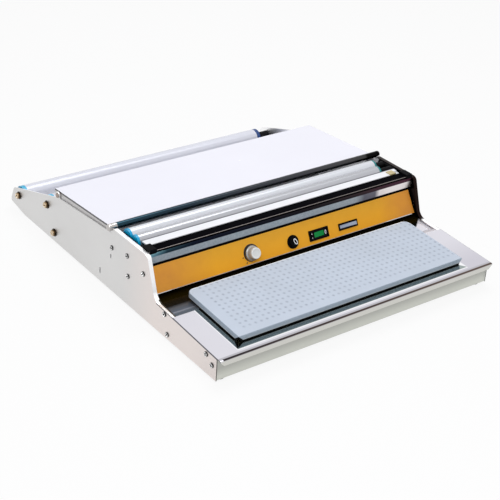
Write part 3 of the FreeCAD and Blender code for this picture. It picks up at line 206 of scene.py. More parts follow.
def top_face(look):
    """1 on faces that look up, from their flat normal."""
    face = look.tree.nodes.new("ShaderNodeNewGeometry")
    parts = look.tree.nodes.new("ShaderNodeSeparateXYZ")
    look.tree.links.new(face.outputs["True Normal"], parts.inputs["Vector"])
    return rising(look, parts.outputs["Z"], *TOP_FACE)


def banded(look, value, bands):
    """A colour from a list of (value, colour), straight between the values."""
    start, stop = bands[0][0], bands[-1][0]
    ramp = look.tree.nodes.new("ShaderNodeValToRGB")
    while len(ramp.color_ramp.elements) < len(bands):
        ramp.color_ramp.elements.new(0.5)
    for element, (at, color) in zip(ramp.color_ramp.elements, bands):
        element.position = (at - start) / (stop - start)
        element.color = (*color, 1.0)
    look.tree.links.new(rising(look, value, start, stop), ramp.inputs["Fac"])
    return ramp.outputs["Color"]


def between(look, value, start, stop, ease=0.0002):
    """1 where the value lies between start and stop, with a short slope at either end."""
    return both(look, rising(look, value, start - ease, start + ease),
                falling(look, value, stop - ease, stop + ease))


def drawn_sheet(name, color, low, high, grain, depth=0.000004, tone=0.03):
    """Sheet metal with a drawn grain: noise stretched along one axis."""
    look = finish(name, color, low, metallic=1.0)
    lines = noise(look, grain, detail=6.0, roughness=0.7)
    clouds = noise(look, (9.0, 7.0, 9.0), detail=3.0)
    look.tone = shade(look, clouds, tone)
    roughen(look, combined(look, "ADD", combined(look, "MULTIPLY", lines, 0.6),
                           combined(look, "MULTIPLY", clouds, 0.4)), low, high)
    emboss(look, lines, depth)
    return look


def moulded_plastic(name, color, low, high, grain=900.0, depth=0.00001, **sockets):
    """Plastic with a fine skin and slow changes of gloss."""
    look = finish(name, color, low, **sockets)
    skin = noise(look, (grain, grain, grain), detail=3.0)
    clouds = noise(look, (35.0, 35.0, 35.0), detail=2.0)
    shade(look, clouds, 0.05)
    roughen(look, clouds, low, high)
    emboss(look, skin, depth)
    return look


def turned_metal(name, color, low, high, axis_grain=(700.0, 30.0, 30.0), depth=0.000003):
    """Round stock with turning marks across its axis."""
    look = finish(name, color, low, metallic=1.0)
    marks = noise(look, axis_grain, detail=5.0)
    clouds = noise(look, (60.0, 60.0, 60.0), detail=2.0)
    shade(look, clouds, 0.05)
    roughen(look, marks, low, high)
    emboss(look, marks, depth)
    return look.material


def roller_skin(name, color, metallic):
    """Smooth roller with faint streaks along its length."""
    look = finish(name, color, 0.24, metallic=metallic)
    streaks = noise(look, (3.0, 420.0, 420.0), detail=5.0)
    shade(look, streaks, 0.06)
    roughen(look, streaks, 0.2, 0.28)
    return look.material


def rod_steel_with_painted_reflections():
    """Dark polished guide rod with painted reflections along it: a painted highlight on its left end,
    painted black on its right end.
    """
    look = finish("dark polished rod", (0.05, 0.055, 0.062), 0.15, metallic=1.0)
    marks = noise(look, (700.0, 30.0, 30.0), detail=5.0)
    # Painted reflections and highlight, laid along the rod's length.
    paint(look, banded(look, along(look, "X"), [
        (-0.30, (0.50, 0.48, 0.47)), (-0.2830, (0.45, 0.43, 0.42)), (-0.2815, (0.02, 0.05, 0.07)),
        (-0.18, (0.018, 0.035, 0.05)), (0.0, (0.045, 0.05, 0.06)), (0.20, (0.06, 0.06, 0.065)),
        (0.262, (0.05, 0.05, 0.05)), (0.266, (0.004, 0.004, 0.004)), (0.30, (0.004, 0.004, 0.004))]))
    roughen(look, marks, 0.12, 0.2)
    return look.material


def side_sheet(name):
    """Satin side panel: warm towards the front, painted white inside as a painted reflection,
    with a dark seam of painted shade along the shelf.

    The seam lies between two lines that rise with the shelf. The near flange carries painted
    shade in the trough, and inside the far panel a painted reflection of the dark head, from
    the step back to the rod. The front edge and the rims of the two slots carry painted shade.
    """
    look = drawn_sheet(name, (0.69, 0.685, 0.68), 0.34, 0.46, (60.0, 5.0, 1500.0))
    across, depth, height = along(look, "X"), along(look, "Y"), along(look, "Z")
    outside = rising(look, sideways(look), *PANEL_FACE)
    warm = blended(look, falling(look, depth, -0.16, -0.06), look.tone, (0.79, 0.725, 0.70))
    # Painted reflection: the inside faces are painted near white, for the bright room they mirror.
    inside_painted_reflection = blended(look, outside, (0.96, 0.96, 0.97), warm)
    # Painted shade: a dark line on the outer face just under the shelf's edge.
    line = between(look, above(look, SHELF_SLOPE), SHELF_LINE - 0.0018, SHELF_LINE + 0.0007)
    seam = both(look, line, between(look, depth, -0.34, -0.166))
    seam_painted_shade = blended(look, both(look, seam, outside), inside_painted_reflection, (0.13, 0.13, 0.15))
    # Painted shade on the near flange in the trough and on the front edge.
    trough = both(look, between(look, across, -0.2876, -0.2),
                  between(look, depth, -0.2150, -0.1640, 0.001))
    front_edge = falling(look, depth, -0.33768, -0.33762)
    shaded = blended(look, either(look, trough, front_edge), seam_painted_shade, (0.05, 0.048, 0.04))
    # Painted shade in the rims of the two slots.
    upper_slot = both(look, between(look, depth, -0.0248, -0.0218),
                      between(look, height, 0.0670, 0.0742))
    lower_slot = both(look, between(look, depth, 0.0115, 0.0145),
                      between(look, height, 0.0197, 0.0307))
    slots = both(look, either(look, upper_slot, lower_slot), outside)
    slots_painted_shade = blended(look, slots, shaded, (0.08, 0.08, 0.08))
    # Painted reflection of the dark head inside the far panel.
    far = both(look, between(look, across, 0.2, 0.2922), between(look, depth, -0.171, -0.034, 0.002))
    paint(look, blended(look, far, slots_painted_shade, (0.014, 0.007, 0.006)))
    return look.material


def trough_floor():
    """Polished floor between shelf and head, with painted reflections of what it mirrors laid over it.

    From front to back: slate, a light crease line of painted highlight, slate that sinks to black,
    then dark brown under the label. Beyond a slanting line at the right end the floor is painted
    with the reflection of the bright room.
    """
    look = finish("polished trough sheet", (0.1, 0.1, 0.1), 0.08, metallic=0.25, IOR=1.12)
    lines = noise(look, (4.0, 900.0, 900.0), detail=6.0)
    depth = along(look, "Y")
    # Painted reflections, with a painted highlight on the crease, banded from front to back.
    painted_reflections = banded(look, depth, [
        (-0.2300, (0.13, 0.16, 0.19)), (-0.2040, (0.15, 0.18, 0.22)),
        (-0.1990, (0.26, 0.29, 0.35)), (-0.1975, (0.30, 0.32, 0.38)),
        (-0.1950, (0.14, 0.16, 0.20)), (-0.1860, (0.10, 0.115, 0.14)),
        (-0.1790, (0.004, 0.006, 0.006)), (-0.1690, (0.004, 0.004, 0.002)),
        (-0.1620, (0.014, 0.009, 0.001)), (-0.1380, (0.008, 0.005, 0.001))])
    # Painted reflection of the bright room beyond a slanting line at the right end.
    slant = combined(look, "SUBTRACT", depth, combined(look, "MULTIPLY", along(look, "X"), 0.84))
    bright = falling(look, slant, -0.4035, -0.4015)
    paint(look, blended(look, bright, painted_reflections, (0.74, 0.73, 0.79)))
    roughen(look, lines, 0.06, 0.12)
    return look.material


def casing_sheet():
    """Head casing: polished, with painted shade on the hem under the label and on the edge above it."""
    look = drawn_sheet("polished casing sheet", (0.62, 0.64, 0.68), 0.10, 0.2, (4.0, 900.0, 900.0),
                       depth=0.0000008, tone=0.02)
    height = along(look, "Z")
    front = between(look, along(look, "Y"), -0.16, -0.1275)
    hem = between(look, height, 0.03, 0.0588)
    edge = between(look, height, 0.1006, 0.12)
    # Painted shade on the hem under the label and on the edge above it.
    dark = both(look, front, either(look, hem, edge))
    paint(look, blended(look, dark, look.tone, (0.012, 0.008, 0.005)))
    return look.material


def shelf_sheet():
    """Polished shelf with painted shade and reflections: dark on its bend and cut edges, and in a
    band round the heated plate, which is painted with the plate's reflection.

    The band ends at a slanting line at the plate's right corner, and a painted highlight rim runs
    round it. The bend's dark line, a painted reflection, warms from left to right, with a bright
    line behind it. The lip below the bend is painted duller than the top, as painted shade.
    """
    look = drawn_sheet("polished shelf sheet", (0.73, 0.72, 0.78), 0.05, 0.11, (4.0, 900.0, 900.0),
                       depth=0.0000008, tone=0.015)
    across, depth = along(look, "X"), along(look, "Y")
    # Painted reflection of the plate's skirt: a dark band round the plate, cut by a slanting line at its
    # right corner.
    slant = combined(look, "ADD", across, combined(look, "MULTIPLY", depth, 0.78))
    wide = both(look, rising(look, across, -0.2505, -0.2497), falling(look, slant, -0.0174, -0.0164))
    band = both(look, wide, between(look, depth, -0.3339, -0.20, 0.0004))
    # Painted highlight: a bright rim round the band.
    rim = both(look, between(look, across, -0.2524, 0.2435, 0.0004),
               between(look, depth, -0.3360, -0.20, 0.0004))
    right = both(look, rising(look, across, 0.15, 0.25), falling(look, depth, -0.32, -0.25))
    sheet = blended(look, right, look.tone, (0.62, 0.605, 0.67))
    rim_painted_highlight = blended(look, rim, sheet, (0.93, 0.93, 0.96))
    shaded = blended(look, band, rim_painted_highlight, (0.33, 0.38, 0.37))
    strip = blended(look, between(look, depth, -0.3442, -0.3400, 0.0006), shaded, (0.50, 0.49, 0.53))
    # Painted reflection: the bend is dark, warming from left to right.
    bend = blended(look, rising(look, across, -0.28, 0.28), (0.02, 0.015, 0.018), (0.11, 0.075, 0.06))
    fold = both(look, between(look, depth, -0.3476, -0.3438, 0.0005),
                rising(look, across, -0.2870, -0.2860))
    bend_painted_reflection = blended(look, fold, strip, bend)
    # Painted shade: the forward-facing lip is duller than the top.
    lip = blended(look, falling(look, depth, -0.34768, -0.34755), bend_painted_reflection, (0.60, 0.595, 0.56))
    # Painted shade on the shelf's cut side edges.
    paint(look, blended(look, rising(look, sideways(look), *PANEL_FACE), lip, (0.10, 0.10, 0.12)))
    return look.material


def apron_sheet():
    """Satin apron, shaded under the shelf's lip."""
    look = drawn_sheet("satin apron sheet", (0.59, 0.60, 0.55), 0.30, 0.42, (4.0, 900.0, 1100.0))
    under_lip = rising(look, along(look, "Z"), 0.010, 0.0255)
    paint(look, blended(look, under_lip, look.tone, (0.42, 0.425, 0.395)))
    return look.material


def front_bar():
    """Blue-grey steel bar: speckled face, painted dark reflections on its rounded top, a painted black
    shade line at its foot, and a painted highlight on its right end.
    """
    look = drawn_sheet("blue-grey bar steel", (0.18, 0.205, 0.25), 0.25, 0.40, (220.0, 500.0, 500.0),
                       depth=0.00001, tone=0.08)
    across, height = along(look, "X"), along(look, "Z")
    speckle = noise(look, (260.0, 400.0, 400.0), detail=4.0)
    spotted = blended(look, rising(look, speckle, 0.35, 0.65), (0.365, 0.42, 0.44),
                      (0.50, 0.53, 0.54))
    patch = blended(look, rising(look, across, 0.150, 0.170), spotted, (0.15, 0.15, 0.18))
    # Painted highlight on the bar's right end.
    right_end_painted_highlight = blended(look, rising(look, across, 0.196, 0.206), patch, (0.79, 0.75, 0.745))
    # Painted reflections on the rounded top: teal at the left end, dark in the middle, brown to the
    # right.
    top = banded(look, across, [
        (-0.285, (0.22, 0.42, 0.48)), (-0.268, (0.10, 0.20, 0.24)), (-0.252, (0.02, 0.045, 0.06)),
        (-0.20, (0.006, 0.009, 0.02)), (0.05, (0.012, 0.010, 0.012)), (0.14, (0.03, 0.022, 0.024)),
        (0.285, (0.06, 0.02, 0.035))])
    top_painted_reflection = blended(look, rising(look, height, 0.1182, 0.1190), right_end_painted_highlight, top)
    # Painted shade: a black line at the bar's foot.
    paint(look, blended(look, falling(look, height, 0.1062, 0.1068), top_painted_reflection, (0.004, 0.004, 0.005)))
    return look.material


def zinc_screw_with_painted_shade():
    """Bright zinc screw whose recess and rim, nearer the panel than its crown, are dark with painted
    shade, and whose crown carries a painted highlight.
    """
    look = finish("bright zinc screw", (0.62, 0.62, 0.62), 0.25, metallic=1.0)
    # Painted shade in the recess and rim, a painted highlight on the crown.
    paint(look, banded(look, sideways(look), [
        (0.2925, (0.006, 0.006, 0.006)), (0.2939, (0.006, 0.006, 0.006)),
        (0.2942, (0.70, 0.70, 0.70)), (0.2947, (0.97, 0.97, 0.97))]))
    roughen(look, noise(look, (400.0, 400.0, 400.0)), 0.22, 0.34)
    return look.material


def knob_metal_with_painted_shade():
    """Knob metal with painted shade and highlight: darker on its foot and sides than on its crown.

    The tone follows the height above the label: the point's and the label foot's places along
    the label's outward direction, one less the other.
    """
    look = finish("knob chrome", (0.6, 0.6, 0.6), 0.14, metallic=0.2)
    out = combined(look, "ADD", combined(look, "MULTIPLY", along(look, "Y"), LABEL_OUT[1]),
                   combined(look, "MULTIPLY", along(look, "Z"), LABEL_OUT[2]))
    height = combined(look, "SUBTRACT", out, LABEL_OUT @ LABEL_FOOT * MM)
    # Painted shade on the foot and sides, a painted highlight on the crown.
    paint(look, banded(look, height, [
        (0.0, (0.03, 0.03, 0.03)), (0.0022, (0.20, 0.20, 0.20)), (0.0036, (0.46, 0.47, 0.47)),
        (0.0100, (0.43, 0.44, 0.45)), (0.0138, (0.62, 0.63, 0.63)), (0.0150, (0.86, 0.87, 0.85))]))
    roughen(look, noise(look, (400.0, 400.0, 400.0)), 0.12, 0.22)
    return look.material


def brass_with_painted_shade():
    """Brass with painted shade on its washer and recess, and a painted highlight on its tan crown."""
    look = finish("screw brass", (0.4, 0.3, 0.15), 0.25, metallic=1.0)
    # Painted shade on the washer and recess, a painted highlight on the crown.
    paint(look, banded(look, sideways(look), [
        (0.2925, (0.02, 0.014, 0.01)), (0.2950, (0.08, 0.05, 0.025)),
        (0.2970, (0.22, 0.145, 0.075)), (0.2995, (0.80, 0.68, 0.52))]))
    roughen(look, noise(look, (400.0, 400.0, 400.0)), 0.2, 0.32)
    return look.material


satin_base = drawn_sheet("satin base sheet", (0.62, 0.63, 0.64), 0.34, 0.45, (5.0, 900.0, 900.0)).material
satin_apron = apron_sheet()
strip_bar_steel = drawn_sheet("strip bar steel", (0.60, 0.62, 0.66), 0.25, 0.35,
                              (5.0, 900.0, 900.0)).material
bright_wire = turned_metal("bright wire", (0.80, 0.82, 0.84), 0.12, 0.22)
bright_axle = turned_metal("bright axle steel", (0.70, 0.71, 0.73), 0.15, 0.28)
dark_rod = rod_steel_with_painted_reflections()
heated_wire = turned_metal("heated wire", (0.24, 0.215, 0.205), 0.20, 0.30)
bright_zinc = turned_metal("bright zinc", (0.62, 0.62, 0.62), 0.22, 0.34, (400.0, 400.0, 400.0))
screw_brass = brass_with_painted_shade()
# Cover pivot screws: a darker, pinkish-brown zinc tone.
pivot_zinc = turned_metal("dark_toned zinc", (0.34, 0.28, 0.25), 0.22, 0.34, (400.0, 400.0, 400.0))
knob_chrome = knob_metal_with_painted_shade()
core_lacquer = drawn_sheet("lacquered core sheet", (0.10, 0.10, 0.105), 0.35, 0.5,
                           (900.0, 5.0, 900.0)).material

black_plastic = moulded_plastic("black plastic", (0.004, 0.004, 0.005), 0.35, 0.48, IOR=1.08).material
black_bar = moulded_plastic("black cutter bar", (0.002, 0.002, 0.003), 0.4, 0.55, depth=0.000006,
                            IOR=1.03).material
black_sleeve = moulded_plastic("black sleeve", (0.008, 0.008, 0.009), 0.4, 0.55, IOR=1.12).material
clip_tan = moulded_plastic("tan clip", (0.50, 0.42, 0.22), 0.35, 0.45).material
roller_grey = roller_skin("grey roller", (0.46, 0.47, 0.505), 0.65)
roller_white = roller_skin("white roller", (0.66, 0.68, 0.73), 0.35)
roller_pale = roller_skin("pale film roller", (0.68, 0.69, 0.77), 0.1)
rocker_grey = moulded_plastic("grey rocker", (0.35, 0.40, 0.52), 0.35, 0.45).material
mat_silicone = moulded_plastic("heater silicone", (0.35, 0.07, 0.03), 0.5, 0.6).material
heater_board = moulded_plastic("heater board", (0.45, 0.37, 0.22), 0.6, 0.7).material
spacer_ceramic = moulded_plastic("spacer ceramic", (0.75, 0.72, 0.66), 0.45, 0.55).material
foot_rubber = moulded_plastic("foot rubber", (0.02, 0.02, 0.02), 0.6, 0.75, grain=500.0).material
lens_green = moulded_plastic("green lens", (0.0, 0.20, 0.04), 0.10, 0.18, depth=0.000004, IOR=1.2,
                             Emission_Color=(0.0, 0.30, 0.07, 1.0), Emission_Strength=0.12).material
fuse_glass = moulded_plastic("fuse glass", (0.85, 0.88, 0.90), 0.03, 0.06, depth=0.000001,
                             Transmission_Weight=0.9, IOR=1.5).material


def cap_shaded_at_right(name, left_color, shaded_right_color):
    """Glossy cap plastic: one colour at the left end and a darker one, painted shade, at the right."""
    look = moulded_plastic(name, left_color, 0.18, 0.28, depth=0.000003)
    # Painted shade: the caps are darker at the right end, beside the dark right panel.
    paint(look, blended(look, rising(look, along(look, "X"), -0.01, 0.01), left_color, shaded_right_color))
    return look.material


feed_cap = cap_shaded_at_right("feed roller cap", (0.0, 0.34, 0.62), (0.0, 0.19, 0.20))
film_cap = cap_shaded_at_right("film roller cap", (0.05, 0.42, 0.66), (0.01, 0.05, 0.20))


def enamel_cover():
    """Smooth bluish-white coat over sheet; the side rims carry painted shade under the top and painted
    light below.
    """
    look = finish("cover enamel", (0.81, 0.81, 0.90), 0.22, Coat_Weight=0.3, Coat_Roughness=0.1)
    peel = noise(look, (260.0, 260.0, 260.0), detail=2.0)
    clouds = noise(look, (6.0, 6.0, 6.0), detail=2.0)
    side = both(look, rising(look, sideways(look), 0.28885, 0.28895), outside_of(look, top_face(look)))
    # Painted shade on the upper side rims, for the gap under the cover's edge, and painted light below.
    rim = blended(look, rising(look, above(look, -COVER_FALL), 0.1186, 0.1191),
                  (0.60, 0.585, 0.58), (0.03, 0.03, 0.035))
    paint(look, blended(look, side, shade(look, clouds, 0.012), rim))
    roughen(look, clouds, 0.18, 0.28)
    emboss(look, peel, 0.000003)
    return look.material


def printed_label():
    """Yellow print film: a faint mottle, duller towards its top and ends, with a satin skin."""
    look = finish("yellow label film", (0.92, 0.40, 0.016), 0.38, Specular_IOR_Level=0.22)
    mottle = noise(look, (45.0, 45.0, 45.0), detail=5.0)
    lines = noise(look, (900.0, 12.0, 12.0), detail=3.0)
    across = along(look, "X")
    yellow = blended(look, rising(look, along(look, "Z"), 0.062, 0.096),
                     (0.90, 0.40, 0.0155), (0.71, 0.34, 0.022))
    left = blended(look, rising(look, across, -0.25, -0.16), (0.64, 0.265, 0.038), yellow)
    ended = blended(look, rising(look, across, 0.20, 0.26), left, (0.66, 0.26, 0.036))
    paint(look, blended(look, spread(look, mottle, 0.0, 0.16), ended, (1.0, 0.50, 0.03)))
    roughen(look, mottle, 0.34, 0.46)
    emboss(look, lines, 0.000004)
    return look.material


def plate_film():
    """Pale blue non-stick film: a square grid of small dimples over a fine weave.

    The skirt is painted greyer as shade, black at its foot as painted shadow of the gap under it,
    with a painted highlight hem above that. At the front left corner, where the skirt is open, it
    is painted black as shade, a triangle that widens downwards. The back edge carries a painted
    highlight.
    """
    pitch = (0.01133, 0.0112)
    first_dimple = (-0.2178, -0.3033)
    plate_corner = (-0.241, -0.3212)
    foot_line = SHELF_LINE + 0.0040
    corner_width, corner_top = 0.0095, SHELF_LINE + 0.0122

    look = finish("heated plate film", (0.62, 0.70, 0.81), 0.42, IOR=1.15)
    across, depth = along(look, "X"), along(look, "Y")
    dots = look.tree.nodes.new("ShaderNodeTexVoronoi")
    dots.voronoi_dimensions = "2D"
    dots.inputs["Scale"].default_value = 1.0
    dots.inputs["Randomness"].default_value = 0.0
    grid = stretched(look, (1.0 / pitch[0], 1.0 / pitch[1], 1.0), shift=(*first_dimple, 0.0))
    look.tree.links.new(grid, dots.inputs["Vector"])
    inner = both(look, rising(look, across, -0.2240, -0.2230), rising(look, depth, -0.3092, -0.3084))
    round_dot = both(look, falling(look, dots.outputs["Distance"], 0.06, 0.32), inner)
    top = top_face(look)
    skirt = outside_of(look, top)
    pit = both(look, round_dot, top)
    weave = noise(look, (1400.0, 1400.0, 1400.0), detail=2.0)
    clouds = noise(look, (14.0, 14.0, 14.0), detail=3.0)
    fading = spread(look, noise(look, (160.0, 160.0, 160.0), detail=2.0), 0.35, 1.0)
    toned = blended(look, rising(look, clouds), (0.50, 0.555, 0.645), (0.53, 0.59, 0.69))
    dotted = blended(look, both(look, pit, fading), toned, (0.31, 0.35, 0.43))
    # Painted shade: the skirt is greyer than the top.
    skirt_painted_shade = blended(look, top, (0.345, 0.41, 0.485), dotted)
    # Painted highlight along the plate's back edge.
    back_edge_painted_highlight = blended(look, rising(look, depth, -0.1772, -0.1764), skirt_painted_shade, (0.93, 0.95, 0.97))
    rise = above(look, SHELF_SLOPE)
    # Painted highlight: a light hem just above the skirt's foot.
    hem = both(look, between(look, rise, foot_line, foot_line + 0.0015), skirt)
    hem_painted_highlight = blended(look, combined(look, "MULTIPLY", hem, 0.5), back_edge_painted_highlight, (0.62, 0.64, 0.66))
    # Painted shade: a black triangle where the skirt's front left corner is open.
    corner = combined(look, "ADD", combined(look, "SUBTRACT", across, plate_corner[0]),
                      combined(look, "SUBTRACT", depth, plate_corner[1]))
    opening = combined(look, "SUBTRACT", corner,
                       spread(look, rise, corner_width, 0.0, foot_line, corner_top))
    open_corner_painted_shade = both(look, falling(look, opening, -0.0003, 0.0003), skirt)
    # Painted shadow: the skirt's foot is black, for the gap under it.
    foot = falling(look, rise, foot_line, foot_line + 0.0004)
    paint(look, blended(look, either(look, open_corner_painted_shade, foot), hem_painted_highlight, (0.003, 0.003, 0.004)))
    emboss(look, combined(look, "SUBTRACT", combined(look, "MULTIPLY", weave, 0.05), pit), 0.0001)
    roughen(look, clouds, 0.38, 0.48)
    return look.material


def white_strip():
    """White glass-cloth strip with a fine weave and a grey back hem."""
    look = finish("white strip cloth", (0.82, 0.83, 0.87), 0.5)
    weave = look.tree.nodes.new("ShaderNodeTexBrick")
    weave.inputs["Brick Width"].default_value = 0.8
    weave.inputs["Row Height"].default_value = 0.8
    weave.inputs["Mortar Size"].default_value = 0.12
    weave.inputs["Scale"].default_value = 1.0
    look.tree.links.new(stretched(look, (1000.0, 1000.0, 1000.0)), weave.inputs["Vector"])
    cloth = shade(look, noise(look, (30.0, 30.0, 30.0)), 0.03)
    hem = rising(look, along(look, "Y"), -0.0934, -0.0928)
    paint(look, blended(look, hem, cloth, (0.09, 0.09, 0.11)))
    emboss(look, outside_of(look, weave.outputs["Fac"]), 0.00003)
    return look.material


node_materials = {
    "left_side_panel": side_sheet("left side sheet"),
    "right_side_panel": side_sheet("right side sheet"),
    "base_plate": satin_base,
    "front_apron": satin_apron,
    "front_shelf": shelf_sheet(),
    "trough_plate": trough_floor(),
    "head_casing": casing_sheet(),
    "control_label": printed_label(),
    "head_front_bar": front_bar(),
    "cutter_bar": black_bar,
    "strip_bar": strip_bar_steel,
    "film_strip": white_strip(),
    "strip_clip": clip_tan,
    "hot_wire": heated_wire,
    "wire_end_blocks": black_plastic,
    "wire_tension_leaf": bright_wire,
    "front_feed_roller": roller_grey,
    "front_feed_roller_caps": feed_cap,
    "back_feed_roller": roller_white,
    "back_feed_roller_caps": feed_cap,
    "feed_axles": bright_axle,
    "feed_sleeves": black_sleeve,
    "feed_bearings": black_plastic,
    "front_film_roller": roller_pale,
    "front_film_roller_caps": film_cap,
    "back_film_roller": roller_pale,
    "back_film_roller_caps": film_cap,
    "film_axles": bright_axle,
    "film_sleeves": black_sleeve,
    "rear_tie_rod": bright_axle,
    "axle_screws": screw_brass,
    "left_panel_screws": bright_zinc,
    "right_panel_screws": bright_zinc,
    "guide_rod": dark_rod,
    "cover_plate": enamel_cover(),
    "cover_pivot_screws": pivot_zinc,
    "cover_rests": satin_base,
    "heated_plate": plate_film(),
    "heater_mat": mat_silicone,
    "heater_board": heater_board,
    "plate_spacers": spacer_ceramic,
    "heat_knob": knob_chrome,
    "thermostat_shaft": bright_axle,
    "thermostat": bright_zinc,
    "fuse_holder": black_plastic,
    "fuse_cap": black_plastic,
    "glass_fuse": fuse_glass,
    "cutter_switch_bezel": black_plastic,
    "cutter_switch_lens": lens_green,
    "cutter_switch_rocker": black_plastic,
    "main_switch_bezel": black_plastic,
    "main_switch_rocker": rocker_grey,
    "wire_transformer": core_lacquer,
    "cord_gland": black_plastic,
    "rubber_feet": foot_rubber,
    "foot_screws": bright_zinc,
}
for name, made in node_materials.items():
    surface = nodes[name].data
    surface.materials.clear()
    surface.materials.append(made)


# Pieces that dress the solids. Lengths below are in millimetres on the part, metres in the mesh.

# Middles of the controls, across and up the label, and their sizes.
KNOB_PLACE = (-87.5, 18.0)
KNOB_FLUTES = 24
FUSE_PLACE = (0.5, 15.5)
FUSE_FACE = 5.8
CUTTER_SWITCH_PLACE = (58.25, 15.5)
ROCKER_TILT = 6.0
ROCKER_HALF = 18.6
DIAL_RADIUS = 14.7
DIAL_TICKS = (228.0, 192.0)
PRINT_SUNK = 0.05

# The frame's outer half width, and what carries a place on a panel, (depth, height), to the machine.
FRAME_HALF = 292.5
FRAME_BACK = 337.7
FRAME_UP = 4.0
SIDES = (("left", -1), ("right", 1))
PANEL_SCREWS = ((311.4, 84.0), (262.3, 92.3), (259.3, 55.1), (212.1, 83.5), (146.8, 42.0),
                (137.7, 8.3), (28.5, 34.0), (12.2, 22.7))
BRASS_SCREWS = ((540.4, 63.2), (652.4, 32.5), (514.6, 17.7))


def on_label(across, up, out):
    """Points of the label's own frame, carried to the machine's frame."""
    spots = [np.asarray(way, float)[..., None] for way in np.broadcast_arrays(across, up, out)]
    return LABEL_FOOT + spots[0] * LABEL_ACROSS + spots[1] * LABEL_UP + spots[2] * LABEL_OUT


def closed_shell(name, rings, material, body, crease=35.0):
    """Mesh over rings of points, shaped (copies, rows, around, 3) in millimetres.

    Quads join each row to the next, the last point of a ring joins its first, and a fan closes
    the first and the last ring at their middle. Rows run towards the side that a ring turns
    anticlockwise from, so faces point outwards.
    """
    copies, rows, around, _ = rings.shape
    ends = np.stack([rings[:, 0].mean(1), rings[:, -1].mean(1)], 1)
    points = np.concatenate([rings.reshape(copies, -1, 3), ends], 1) * MM
    row, turn = np.meshgrid(np.arange(rows - 1), np.arange(around), indexing="ij")
    after = (turn + 1) % around
    quads = np.stack([row * around + turn, row * around + after, (row + 1) * around + after,
                      (row + 1) * around + turn], -1).reshape(-1, 4)
    spin = np.arange(around)
    ahead = (spin + 1) % around
    foot = rows * around
    top = (rows - 1) * around
    fans = np.concatenate([np.stack([ahead, spin, np.full(around, foot)], 1),
                           np.stack([top + spin, top + ahead, np.full(around, foot + 1)], 1)])
    step = (np.arange(copies) * (foot + 2))[:, None, None]
    mesh = bpy.data.meshes.new(name)
    faces = (quads + step).reshape(-1, 4).tolist() + (fans + step).reshape(-1, 3).tolist()
    mesh.from_pydata(points.reshape(-1, 3).tolist(), [], faces)
    mesh.polygons.foreach_set("use_smooth", np.ones(len(faces), bool))
    mesh.set_sharp_from_angle(angle=math.radians(crease))
    mesh.materials.append(material)
    piece = bpy.data.objects.new(name, mesh)
    bpy.context.scene.collection.objects.link(piece)
    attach(piece, body)
    return piece


def eased(value, start, stop):
    """Smooth step: 0 before start, 1 after stop, 3t^2 - 2t^3 between them."""
    share = np.clip((value - start) / (stop - start), 0.0, 1.0)
    return share * share * (3.0 - 2.0 * share)


def screw_heads(name, spots, side, outline, recess, material):
    """Turned screws with a crossed recess, along the machine's width.

    The outline's points are (radius, height), from the shank's end to the crown. Inside the
    recess, (reach, width, depth), whose arms are bands about two square diameters, the height
    sinks by the recess depth through an eased edge.
    """
    reach, width, depth = recess
    radius, height = np.array(outline).T
    around = 48
    angle = np.linspace(0.0, 2.0 * np.pi, around, endpoint=False)
    one = radius[:, None] * np.cos(angle)
    other = radius[:, None] * np.sin(angle)
    inside = 1.0 - eased(np.minimum(np.abs(one), np.abs(other)), width * 0.35, width * 0.65)
    within = 1.0 - eased(radius, reach * 0.85, reach)[:, None]
    top = (height > 0.0)[:, None]
    rise = height[:, None] - depth * inside * within * top
    turn = np.linspace(0.3, 1.4, len(spots))[:, None, None]
    first = one * np.cos(turn) - other * np.sin(turn)
    second = one * np.sin(turn) + other * np.cos(turn)
    spots = np.array(spots)
    rings = np.empty((len(spots), len(radius), around, 3))
    rings[..., 0] = side * (FRAME_HALF + rise)
    rings[..., 1] = spots[:, 0, None, None] - FRAME_BACK + first * side
    rings[..., 2] = spots[:, 1, None, None] + FRAME_UP + second
    return closed_shell(name, rings, material, "frame")


def domed(head_radius, foot, head, start=0.1):
    """Outline of a pan head from its rim in to the middle, (radius, height).

    With s from 0 to a quarter turn, the radius is head_radius * cos(s) ** 0.8 and the height
    foot + head * (0.35 + 0.65 * sin(s) ** 0.8).
    """
    sweep = np.linspace(0.0, 1.0, 16) * np.pi / 2.0
    radius = head_radius * np.cos(sweep) ** 0.8
    height = foot + head * (0.35 + 0.65 * np.sin(sweep) ** 0.8)
    keep = radius > start
    return list(zip(radius[keep], height[keep]))


def panel_screws():
    """The small and the brass screws of both side panels."""
    pan_screw = zinc_screw_with_painted_shade()
    pan_outline = [(1.9, -5.9), (1.9, -0.1), (4.4, 0.0), (4.5, 0.4)] + domed(4.5, 0.0, 2.2)
    brass_outline = ([(2.4, -11.9), (2.4, -0.1), (7.3, 0.0), (7.5, 0.2), (7.5, 1.0), (7.2, 1.2),
                      (5.9, 1.2), (6.0, 1.7)] + domed(6.0, 1.2, 6.0))
    for side_name, side in SIDES:
        heads = screw_heads(f"{side_name}_pan_screws", PANEL_SCREWS, side, pan_outline,
                            (3.6, 1.7, 1.6), pan_screw)
        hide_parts(f"{side_name}_panel_screws")
    brass = [screw_heads(f"{side_name}_brass_screws", BRASS_SCREWS, side, brass_outline,
                         (4.2, 1.6, 2.4), screw_brass) for side_name, side in SIDES]
    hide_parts("axle_screws")


